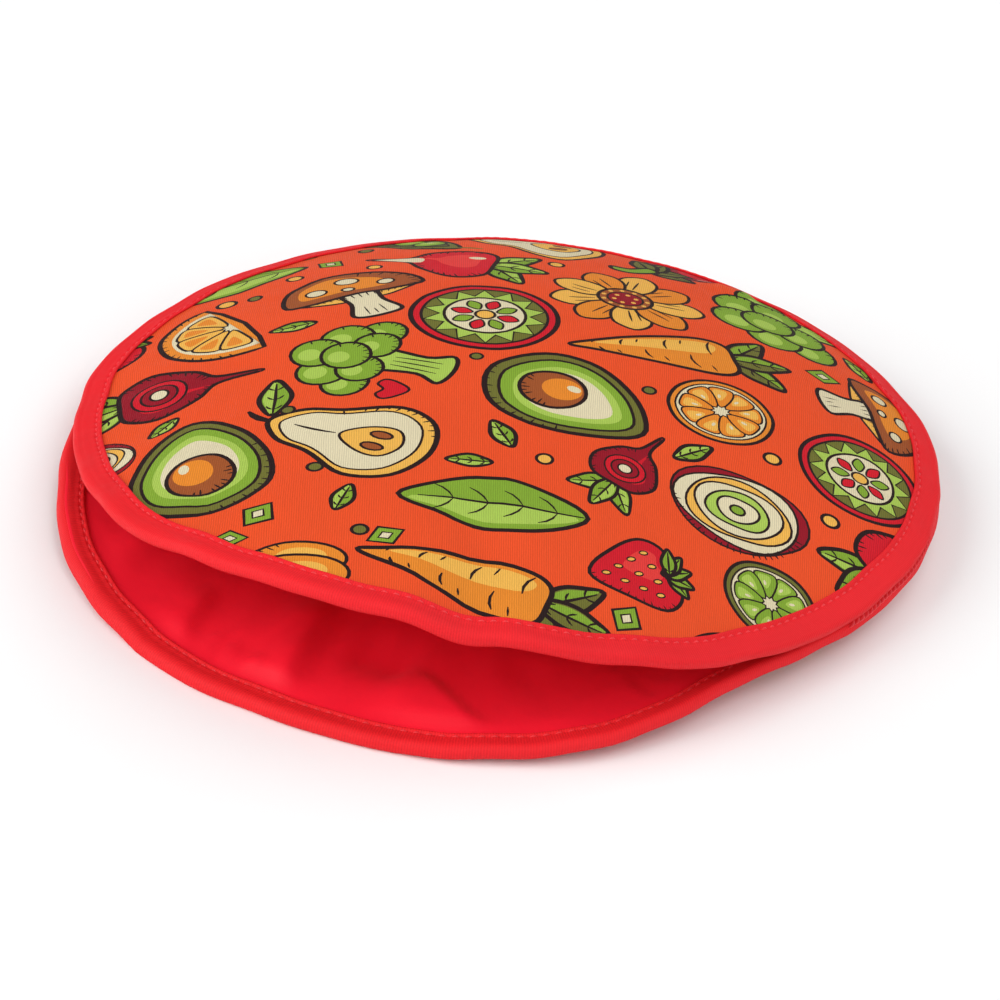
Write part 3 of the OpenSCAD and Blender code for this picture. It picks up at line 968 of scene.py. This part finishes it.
def printed_disc(shapes):
    """Triangles of the flat cut disc that follow every outline of the print, and the ink of each triangle."""
    points = list(ground_points())
    edges, areas = [], []
    for outline, ink in shapes:
        r = np.linalg.norm(outline, axis=1, keepdims=True)
        inner = outline * np.minimum(1, (CUT_R - 1.0) / np.maximum(r, 1e-9))
        inner = thinned(inner[np.linalg.norm(inner - np.roll(inner, 1, 0), axis=1) > 0.25])
        if len(inner) > 2:
            start = len(points)
            points += list(inner)
            edges += [(start + k, start + (k + 1) % len(inner)) for k in range(len(inner))]
            areas.append((inner, ink))
    found = geometry.delaunay_2d_cdt([Vector(p) for p in points], edges, [], 0, 1e-4, False)
    flat = np.array([tuple(v) for v in found[0]])
    triangles = np.array(found[2])
    middles = flat[triangles].mean(1)
    names = list(INKS)
    inks = np.zeros(len(triangles), int)
    for outline, ink in areas:
        low, high = outline.min(0), outline.max(0)
        near = np.nonzero(((middles > low) & (middles < high)).all(1))[0]
        inks[near[holds(outline, middles[near])]] = names.index(ink)
    return flat, triangles, inks


def cover(side, cut, turn):
    """The printed outer cloth of a panel, from its flat cut, which is turned before it is sewn."""
    flat, triangles, inks = cut
    flat = flat @ spin(turn) * np.array([1 if side == UPPER else -1, 1])
    s = np.hypot(flat[:, 0], flat[:, 1]) / CUT_R * EDGE_SHARE
    points = cloth_points(side, s, bearing(flat[:, 0], flat[:, 1]), COVER_OUT)
    piece = new_piece("outer_cloth", points.tolist(), triangles.tolist())
    colour = piece.data.color_attributes.new(name="Print", type="FLOAT_COLOR", domain="CORNER")
    values = np.array([linear(rgb) + (1.0,) for rgb in INKS.values()])[inks]
    colour.data.foreach_set("color", np.repeat(values, 3, axis=0).astype(np.float32).ravel())
    flat_map(piece, flat * MM)
    pick(piece)
    edit((bpy.ops.mesh.dissolve_degenerate, {"threshold": SLIVER}), (bpy.ops.mesh.delete_loose, {}))
    thicken(piece, COVER_T)
    move_vertices(piece, above_floor(vertices(piece)))
    return settle(piece, f"{side}_outer_cloth")


# ---- Bindings ----

BINDING_COLUMNS = 1440
NOSE_PUFF = 0.5 * MM
LOWER_DROOP = 2.4 * MM
LOWER_DROOP_AT = -46.0
TIP_DROP = 0.45              # share of the strip's thickness by which its cut edges are rounded off
UNDER_FOLD = 3.6 * MM        # how far the upper lip's strip bellies out below its roll
UNDER_FOLD_AT = -31.0
STITCHES = 232
HOLLOW_AT = -48.0            # where the lower strip lies flatter
# Heights of the strip's relief, in millimetres
RIB_H, SWELL_H, ROLL_H, RIDGE_H = 0.035, 0.16, 0.5, 0.3
HOLLOW_H, PUCKER_H, GROOVE_H, HOLE_H = 0.4, 0.08, 0.3, 0.4
TOP_LEG, NOSE, LOW_LEG, LOW_FOLD, TOP_FOLD = range(5)       # parts of a binding's section
LEG_POINTS = (0.0, 0.05, 0.12, 0.19, 0.25, 0.31, 0.38, 0.47, 0.58, 0.7, 0.82, 0.92)
NOSE_POINTS = 11
STITCH_AT = STITCH_INSET / BINDING_W


def spun_section(columns, count):
    """A ring with a small round section of count points, to be shaped into the binding's section."""
    fresh()
    bpy.ops.mesh.primitive_circle_add(vertices=count, radius=0.2, location=(1, 0, 0),
                                      rotation=(math.radians(90), 0, 0))
    ring = bpy.context.object
    bpy.ops.object.transform_apply(location=True, rotation=True, scale=True)
    turn = ring.modifiers.new("Turn", "SCREW")
    turn.angle = 2 * math.pi
    turn.steps = turn.render_steps = columns
    turn.use_merge_vertices = True
    turn.merge_threshold = 1e-5
    apply_modifiers(ring)
    edit(OUTWARD)
    return ring


def binding(side):
    """The strip folded round a panel's edge, with its stitch line, its ridge and its fine gathers."""
    section = [(TOP_LEG, f) for f in LEG_POINTS]
    section += [(NOSE, 90 - 180 * k / (NOSE_POINTS - 1)) for k in range(NOSE_POINTS)]
    section += [(LOW_LEG, f) for f in LEG_POINTS[::-1]]
    section += [(LOW_FOLD, f) for f in (0.0, 0.5, 1.0)] + [(TOP_FOLD, f) for f in (1.0, 0.5, 0.0)]
    ring = spun_section(BINDING_COLUMNS, len(section))
    spot = vertices(ring)
    a = bearing(spot[:, 0], spot[:, 1])
    turn = np.degrees(np.arctan2(spot[:, 2], np.hypot(spot[:, 0], spot[:, 1]) - 1))
    index = np.round(-turn / 360 * len(section)).astype(int) % len(section)
    part = np.array([p for p, _ in section])[index]
    along = np.array([f for _, f in section])[index]
    edge = edge_radius(side, a)
    top_face, low_face = (COVER_OUT, LINING_IN) if side == UPPER else (LINING_IN, COVER_OUT)
    top_edge = inward(side, np.ones_like(a), a, top_face) + WRAP_T
    low_edge = inward(side, np.ones_like(a), a, low_face) - WRAP_T
    middle = (top_edge + low_edge) / 2
    half = (top_edge - low_edge) / 2
    r = edge - LEG * (1 - along)
    z = np.zeros_like(a)
    for which, face, up in ((TOP_LEG, top_face, WRAP_T), (LOW_LEG, low_face, -WRAP_T),
                            (LOW_FOLD, low_face, -LAYER_GAP), (TOP_FOLD, top_face, LAYER_GAP)):
        facing = (which == LOW_LEG) == (side == UPPER)
        lift = gathers(a, along, side, facing) * np.sign(up) if which in (TOP_LEG, LOW_LEG) else 0
        z = np.where(part == which, inward(side, r / edge, a, face) + up + lift, z)
    t = np.radians(along)
    seamward = np.sin(t) < 0.2 if side == UPPER else np.sin(t) > -0.2
    puff = NOSE_PUFF * (1 - (1 - np.sqrt(gape(a))) * seamward)
    r = np.where(part == NOSE, edge + (NOSE_R + puff) * np.cos(t), r)
    z = np.where(part == NOSE, middle + (half + puff) * np.sin(t), z)
    r = np.where((part >= LOW_FOLD) & (along == 1), edge + LAYER_GAP, r)
    tip = (part <= LOW_LEG) & (part != NOSE) & (along == 0)
    z = np.where(tip, z - np.where(part == TOP_LEG, 1, -1) * BINDING_T * TIP_DROP, z)
    if side == LOWER:
        beyond = np.clip((r - edge + LEG * (1 - STITCH_AT)) / LEG, 0, 2)
        z = z - LOWER_DROOP * bump(a, LOWER_DROOP_AT, 26) * beyond ** 1.4
    else:
        belly = np.where(part == LOW_LEG, np.sin(np.pi * np.clip(along / 0.96, 0, 1)) ** 2, 0)
        z = z - UNDER_FOLD * (bump(a, UNDER_FOLD_AT, 15) + 0.5 * bump(a, 45, 12)) * belly
    move_vertices(ring, place(r, a, np.maximum(z, 0)))
    strip_map(ring, a, index / len(section))
    return settle(ring, f"{side}_bound_edge")


def strip_map(ring, a, across):
    """A UV map along the strip, in metres, for its ribs."""
    layer = ring.data.uv_layers.new(name="Cut")
    corners = np.empty(len(ring.data.loops), int)
    ring.data.loops.foreach_get("vertex_index", corners)
    sides = np.empty(len(ring.data.polygons), int)
    ring.data.polygons.foreach_get("loop_total", sides)
    face = np.repeat(np.arange(len(sides)), sides)
    turn = a[corners] / 360
    first = np.full(len(sides), -9.0)
    np.maximum.at(first, face, turn)
    turn = np.where(first[face] - turn > 0.5, turn + 1, turn)
    flat = np.stack([turn * 2 * math.pi * RIM_R, across[corners] * 4 * BINDING_W], -1)
    layer.uv.foreach_set("vector", flat.astype(np.float32).ravel())


def gathers(a, along, side, facing=False):
    """Height of the strip's cloth over its plain form; facing is true where it meets the other strip."""
    phase = 0 if side == UPPER else 1.7
    t = np.radians(a)
    ribs = 0.55 * np.sin(214 * t + 3 * np.sin(7 * t + phase)) + 0.45 * np.sin(157 * t + 2 * np.sin(11 * t))
    ribs *= 0.6 + 0.4 * np.sin(9 * t + phase) * np.sin(4 * t + 1)
    swell = 0.5 * np.sin(23 * t + phase) + 0.5 * np.sin(37 * t + 2 * phase)
    roll = np.clip((along - STITCH_AT) / (1 - STITCH_AT), 0, 1)
    bulge = np.sin(np.pi * roll)
    rise = np.clip((roll - 0.3) / 0.6, 0, 1)
    full = rise * rise * (3 - 2 * rise)
    hollow = bump(a, HOLLOW_AT, 26) * np.exp(-((roll - 0.32) / 0.24) ** 2) if side == LOWER else 0
    ridge = np.exp(-((along - STITCH_AT * 0.42) / (STITCH_AT * 0.32)) ** 2)
    groove = np.exp(-((along - STITCH_AT) / 0.06) ** 2)
    hole = 0.5 + 0.5 * np.cos(STITCHES * t)
    pucker = np.exp(-((along - STITCH_AT) / 0.2) ** 2) * np.cos(STITCHES * t)
    height = (RIB_H * ribs * (0.4 + 0.6 * bulge) + SWELL_H * swell * bulge + ROLL_H * full + RIDGE_H * ridge
              - HOLLOW_H * hollow - PUCKER_H * pucker - groove * (GROOVE_H + HOLE_H * hole))
    return MM * height * (1 - facing * (1 - np.sqrt(gape(a))) * (height > 0))


# ---- Thread ----

THREAD_RINGS = 5
THREAD_SIDES = 6
STITCH_SPAN = (0.14, 0.86)   # share of its pitch that a stitch shows


def stitch_row(name, ends):
    """One mesh of short strands, each bowed from a hole to the next; ends gives (start, end, up) rows."""
    fresh()
    bpy.ops.mesh.primitive_cylinder_add(vertices=THREAD_SIDES, radius=1, depth=1, end_fill_type="TRIFAN",
                                        rotation=(0, math.radians(90), 0))
    strand = bpy.context.object
    bpy.ops.object.transform_apply(location=True, rotation=True, scale=True)
    edit(*((bpy.ops.mesh.bisect, {"plane_co": (k / THREAD_RINGS - 0.5, 0, 0), "plane_no": (1, 0, 0)})
           for k in range(1, THREAD_RINGS)))
    base = vertices(strand)
    faces = [tuple(p.vertices) for p in strand.data.polygons]
    t = base[:, 0] + 0.5
    starts, stops, ups = (np.array([row[k] for row in ends]) for k in range(3))
    along = stops - starts
    length = np.linalg.norm(along, axis=1, keepdims=True)
    ahead = along / length
    ups = ups - (ups * ahead).sum(1, keepdims=True) * ahead
    ups /= np.linalg.norm(ups, axis=1, keepdims=True)
    across = np.cross(ups, ahead)
    radius = THREAD_D / 2 * (0.55 + 0.45 * np.sin(math.pi * t))
    bow = THREAD_D * (0.85 * np.sin(math.pi * t) - 0.35)
    points = (starts[:, None] + along[:, None] * t[None, :, None]
              + ups[:, None] * (bow + radius * base[:, 2])[None, :, None]
              + across[:, None] * (radius * base[:, 1])[None, :, None])
    points = above_floor(points).reshape(-1, 3)
    faces = [tuple(v + k * len(base) for v in face) for k in range(len(ends)) for face in faces]
    bpy.data.objects.remove(strand)
    return settle(new_piece(name, points.tolist(), faces), name)


def topstitch(side):
    """The rows of thread through a binding, seen from above and from below."""
    rows = []
    pitch = 360 / STITCHES
    for up in (1, -1):
        face = COVER_OUT if (up > 0) == (side == UPPER) else LINING_IN
        for k in range(STITCHES):
            a = (k + np.array(STITCH_SPAN)) * pitch
            edge = edge_radius(side, a)
            r = edge - LEG * (1 - STITCH_AT)
            lift = WRAP_T + gathers(a, np.full(2, STITCH_AT), side)
            p = place(r, a, inward(side, r / edge, a, face) + up * lift)
            rows.append((p[0], p[1], np.array([0, 0, float(up)])))
    return stitch_row(f"{side}_stitching", rows)


SEAM_STITCHES = 190
SEAM_SPAN = (0.2, 0.8)


def seam_stitch():
    """Slanting stitches that draw the two bindings together around the back."""
    rows = []
    first, last = MOUTH_TURN + MOUTH_ANGLE, 360 + MOUTH_TURN - MOUTH_ANGLE
    pitch = (last - first) / SEAM_STITCHES
    for k in range(SEAM_STITCHES):
        a = first + (k + np.array(SEAM_SPAN)) * pitch
        r = edge_radius(UPPER, a) + 0.87 * NOSE_R
        rise = waves(a, RIM_HEIGHT_WAVES)
        p = place(r, a, SEAM_Z + rise + np.array([-1, 1]) * (NOSE_R * 0.5 + SEAM_GAP / 2))
        t = math.radians(a.mean())
        rows.append((p[0], p[1], np.array([math.sin(t), -math.cos(t), 0.0])))
    return stitch_row("seam_thread", rows)


# ---- Materials ----


class Cloth:
    """A material on a piece's own cut-cloth map, built from a few weave and colour steps."""

    def __init__(self, name, rgb, roughness, sheen=0.0, specular=0.3):
        self.made = bpy.data.materials.new(name)
        self.made.use_nodes = True
        self.made.diffuse_color = linear(rgb) + (1,)
        self.nodes, self.links = self.made.node_tree.nodes, self.made.node_tree.links
        self.shader = self.nodes["Principled BSDF"]
        self.fill(self.shader, {"Base Color": linear(rgb) + (1,), "Roughness": roughness,
                                "Sheen Weight": sheen, "Sheen Roughness": 0.4, "Specular IOR Level": specular})
        self.colour = None
        self.height = None

    @staticmethod
    def fill(node, inputs):
        for name, value in inputs.items():
            node.inputs[name].default_value = value

    def node(self, kind, inputs=None, **settings):
        made = self.nodes.new("ShaderNode" + kind)
        for name, value in settings.items():
            setattr(made, name, value)
        self.fill(made, inputs or {})
        return made

    def places(self, metres, turn=0.0, on_cut=True):
        """Coordinates in which one unit is so many metres."""
        source = self.node("UVMap", uv_map="Cut") if on_cut else self.node("TexCoord")
        mapping = self.node("Mapping", {"Rotation": (0, 0, math.radians(turn)), "Scale": (1 / metres,) * 3})
        self.links.new(source.outputs["UV" if on_cut else "Object"], mapping.inputs["Vector"])
        return mapping.outputs["Vector"]

    def ribs(self, pitch, turn=0.0, waver=0.0):
        """Parallel ribs across the cloth's own first direction, one to each pitch."""
        wave = self.node("TexWave", {"Scale": 0.314159, "Distortion": waver, "Detail Scale": 0.3},
                         bands_direction="X", wave_profile="SIN")
        self.links.new(self.places(pitch, turn), wave.inputs["Vector"])
        return wave.outputs["Fac"]

    def mottle(self, size, detail=3.0, on_cut=True, stretch=None):
        """Uneven patches of about this size, in metres."""
        noise = self.node("TexNoise", {"Scale": 1.0, "Detail": detail})
        coordinates = self.places(size, on_cut=on_cut)
        if stretch:
            scale = self.node("VectorMath", operation="MULTIPLY")
            scale.inputs[1].default_value = stretch
            self.links.new(coordinates, scale.inputs[0])
            coordinates = scale.outputs["Vector"]
        self.links.new(coordinates, noise.inputs["Vector"])
        return noise.outputs["Fac"]

    def span(self, value, low, high):
        """A value from 0 to 1 carried over to a range."""
        step = self.node("MapRange", {"To Min": low, "To Max": high})
        self.links.new(value, step.inputs["Value"])
        return step.outputs["Result"]

    def tint(self, value, low, high):
        """Darkens and lightens the colour so far by a value."""
        mix = self.node("Mix", {"Factor": 1.0}, data_type="RGBA", blend_type="MULTIPLY")
        colour_in, tint_in = mix.inputs[6], mix.inputs[7]
        if self.colour is None:
            colour_in.default_value = self.shader.inputs["Base Color"].default_value
        else:
            self.links.new(self.colour, colour_in)
        self.links.new(self.span(value, low, high), tint_in)
        self.colour = mix.outputs[2]

    def bump(self, value, depth, strength=0.6):
        step = self.node("Bump", {"Strength": strength, "Distance": depth})
        self.links.new(value, step.inputs["Height"])
        if self.height is not None:
            self.links.new(self.height, step.inputs["Normal"])
        self.height = step.outputs["Normal"]

    def gloss(self, value, low, high):
        self.links.new(self.span(value, low, high), self.shader.inputs["Roughness"])

    def done(self):
        if self.colour is not None:
            self.links.new(self.colour, self.shader.inputs["Base Color"])
        if self.height is not None:
            self.links.new(self.height, self.shader.inputs["Normal"])
        return self.made


RIB_TURN = -22.0


def printed():
    """A ribbed polyester weave, with painted shade in the grooves of its ribs and picks and painted highlight
    on their crests.
    """
    cloth = Cloth("printed_cloth", INKS["ground"], 0.68, sheen=0.02, specular=0.12)
    dye = cloth.node("Attribute", attribute_name="Print")
    cloth.colour = dye.outputs["Color"]
    ribs = cloth.ribs(0.75 * MM, RIB_TURN, 0.6)
    picks = cloth.ribs(0.42 * MM, RIB_TURN + 90, 0.8)
    # the ribs and picks tint the colour too: painted shade in their grooves, painted highlight on their crests
    cloth.tint(ribs, 0.86, 1.09)
    cloth.tint(picks, 0.96, 1.03)
    cloth.tint(cloth.mottle(0.9 * MM, 2.0), 0.93, 1.06)
    cloth.tint(cloth.mottle(38 * MM, 3.0), 0.87, 0.96)
    cloth.bump(cloth.mottle(24 * MM, 2.0), 0.8 * MM, 0.35)
    cloth.bump(ribs, 0.12 * MM, 0.7)
    cloth.bump(picks, 0.06 * MM, 0.5)
    cloth.gloss(cloth.mottle(6 * MM), 0.6, 0.76)
    return cloth.done()


def smooth_lining():
    """A thin plain weave with a soft shine."""
    cloth = Cloth("lining_cloth", (240, 27, 49), 0.5, sheen=0.02, specular=0.2)
    cloth.tint(cloth.ribs(0.45 * MM, 0, 0.8), 0.96, 1.03)
    cloth.tint(cloth.ribs(0.45 * MM, 90, 0.8), 0.96, 1.03)
    cloth.tint(cloth.mottle(45 * MM), 0.94, 1.06)
    cloth.bump(cloth.mottle(30 * MM, 3.0), 1.2 * MM, 0.35)
    cloth.bump(cloth.mottle(7 * MM, 2.0), 0.25 * MM, 0.3)
    cloth.bump(cloth.mottle(0.5 * MM, 1.0), 0.05 * MM, 0.3)
    cloth.gloss(cloth.mottle(9 * MM), 0.42, 0.56)
    return cloth.done()


def ribbed_binding():
    """Cross-ribbed strip, with a painted highlight on each rib."""
    cloth = Cloth("binding_cloth", (226, 34, 41), 0.6, specular=0.14)
    ribs = cloth.ribs(0.85 * MM, 0, 0.5)
    # the ribs tint the colour too: painted highlight on each rib, painted shade between them
    cloth.tint(ribs, 0.93, 1.05)
    cloth.tint(cloth.mottle(0.6 * MM, 2.0), 0.95, 1.05)
    cloth.tint(cloth.mottle(26 * MM), 0.93, 1.06)
    cloth.bump(cloth.mottle(9 * MM, 2.0), 0.5 * MM, 0.3)
    cloth.bump(ribs, 0.1 * MM, 0.6)
    cloth.gloss(cloth.mottle(5 * MM), 0.54, 0.68)
    return cloth.done()


def matted_fibre():
    """White fibre fill: loose tangles at two sizes."""
    cloth = Cloth("batting_fibre", (244, 242, 236), 0.9, sheen=0.3, specular=0.1)
    tangle = cloth.mottle(1.6 * MM, 6.0, on_cut=False, stretch=(1.0, 0.25, 1.0))
    cloth.tint(tangle, 0.86, 1.04)
    cloth.tint(cloth.mottle(12 * MM, 3.0, on_cut=False), 0.94, 1.02)
    cloth.bump(tangle, 0.6 * MM, 0.8)
    return cloth.done()


def twisted_thread():
    """Polyester sewing thread, with painted highlight on its plies and painted shade between them."""
    cloth = Cloth("thread", (240, 52, 60), 0.42, sheen=0.1, specular=0.4)
    plies = cloth.node("TexWave", {"Scale": 0.6}, bands_direction="DIAGONAL")
    cloth.links.new(cloth.places(0.5 * MM, on_cut=False), plies.inputs["Vector"])
    # the plies tint the colour: painted highlight on each ply, painted shade between them
    cloth.tint(plies.outputs["Fac"], 0.8, 1.12)
    cloth.tint(cloth.mottle(4 * MM, on_cut=False), 0.9, 1.05)
    cloth.bump(plies.outputs["Fac"], 0.1 * MM, 0.6)
    return cloth.done()


def finish(piece, made):
    piece.data.materials.clear()
    piece.data.materials.append(made)


printed_cloth = printed()
lining_cloth = smooth_lining()
binding_cloth = ribbed_binding()
batting_fibre = matted_fibre()
thread = twisted_thread()

# ---- The pouch ----

drapes = {(UPPER, 0): draped(UPPER, COVER_OUT, 2), (UPPER, 1): draped(UPPER, LINING_IN, 3),
          (LOWER, 1): draped(LOWER, LINING_IN, 4)}
EASE.update(drapes)     # only now, since each cloth is draped from its plain form
cut = printed_disc(print_layout(5))
upper_cover = cover(UPPER, cut, 0)
lower_cover = cover(LOWER, cut, 140)
upper_batting = batting(UPPER)
lower_batting = batting(LOWER)
upper_lining = lining(UPPER, ROUND_COLUMNS)
lower_lining = lining(LOWER, 480)
upper_binding = binding(UPPER)
lower_binding = binding(LOWER)
upper_topstitch = topstitch(UPPER)
lower_topstitch = topstitch(LOWER)
seam = seam_stitch()

FINISHES = (
    (upper_cover, printed_cloth, "printed_cloth"),
    (lower_cover, printed_cloth, "printed_cloth"),
    (upper_batting, batting_fibre, "batting"),
    (lower_batting, batting_fibre, "batting"),
    (upper_lining, lining_cloth, "lining_cloth"),
    (lower_lining, lining_cloth, "lining_cloth"),
    (upper_binding, binding_cloth, "binding_cloth"),
    (lower_binding, binding_cloth, "binding_cloth"),
    (upper_topstitch, thread, "thread"),
    (lower_topstitch, thread, "thread"),
    (seam, thread, "thread"),
)
for piece, made, slot in FINISHES:
    finish(piece, made)

for piece, node in ((upper_cover, "upper_cover"), (upper_batting, "upper_batting"),
                    (upper_lining, "upper_lining"), (upper_binding, "upper_binding"),
                    (upper_topstitch, "upper_topstitch")):
    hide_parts(f"{node}_rear", f"{node}_front")
    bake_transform(piece)
for piece, node in ((lower_cover, "lower_cover"), (lower_batting, "lower_batting"),
                    (lower_lining, "lower_lining"), (lower_binding, "lower_binding"),
                    (lower_topstitch, "lower_topstitch"), (seam, "seam_stitch")):
    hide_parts(node)
    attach(piece, "pouch")

# ---- Floor, light and camera ----

FLOOR_LEVEL = 0.92
WORLD_LEVEL = 0.06

def floor():
    fresh()
    bpy.ops.mesh.primitive_plane_add(size=60, location=(0, 0, 0))
    plane = bpy.context.object
    plane.name = "floor"
    made = bpy.data.materials.new("floor")
    made.use_nodes = True
    shader = made.node_tree.nodes["Principled BSDF"]
    Cloth.fill(shader, {"Base Color": (*[FLOOR_LEVEL] * 3, 1), "Roughness": 0.9})
    finish(plane, made)


def towards(azimuth, elevation):
    """A direction from the middle: 0 degrees of azimuth is -Y, and 90 is +X."""
    az, e = math.radians(azimuth), math.radians(elevation)
    return Vector((math.sin(az) * math.cos(e), -math.cos(az) * math.cos(e), math.sin(e)))


def soft_light(name, azimuth, elevation, share, spread):
    """A wide far light; its share is the part of a plain level that it adds on a face turned to it."""
    light = bpy.data.lights.new(name, "SUN")
    light.energy = share * math.pi
    light.angle = math.radians(spread)
    lamp = bpy.data.objects.new(name, light)
    bpy.context.collection.objects.link(lamp)
    lamp.rotation_euler = towards(azimuth, elevation).to_track_quat("Z", "Y").to_euler()


def camera():
    az, roll = math.radians(CAMERA_AZIMUTH), math.radians(CAMERA_ROLL)
    back = towards(CAMERA_AZIMUTH, CAMERA_ELEVATION)
    right = Vector((math.cos(az), math.sin(az), 0))
    up = back.cross(right)
    tilted_right = math.cos(roll) * right + math.sin(roll) * up
    tilted_up = -math.sin(roll) * right + math.cos(roll) * up
    data = bpy.data.cameras.new("camera")
    data.lens = CAMERA_LENS
    data.sensor_width = 36
    data.sensor_fit = "HORIZONTAL"
    data.clip_end = 100
    shot = bpy.data.objects.new("camera", data)
    bpy.context.collection.objects.link(shot)
    place_at = CAMERA_TARGET + back * CAMERA_DISTANCE
    shot.matrix_world = Matrix((*zip(tilted_right, tilted_up, back, place_at), (0, 0, 0, 1)))
    bpy.context.scene.camera = shot


world = bpy.data.worlds.new("world")
world.use_nodes = True
Cloth.fill(world.node_tree.nodes["Background"], {"Color": (1, 1, 1, 1), "Strength": WORLD_LEVEL})
bpy.context.scene.world = world
floor()
soft_light("key", -54, 28, 0.76, 56)
soft_light("front", -10, 55, 0.16, 60)
soft_light("fill", 62, 38, 0.44, 70)
soft_light("back", 150, 55, 0.38, 60)
camera()
bpy.context.scene.view_settings.view_transform = "Standard"
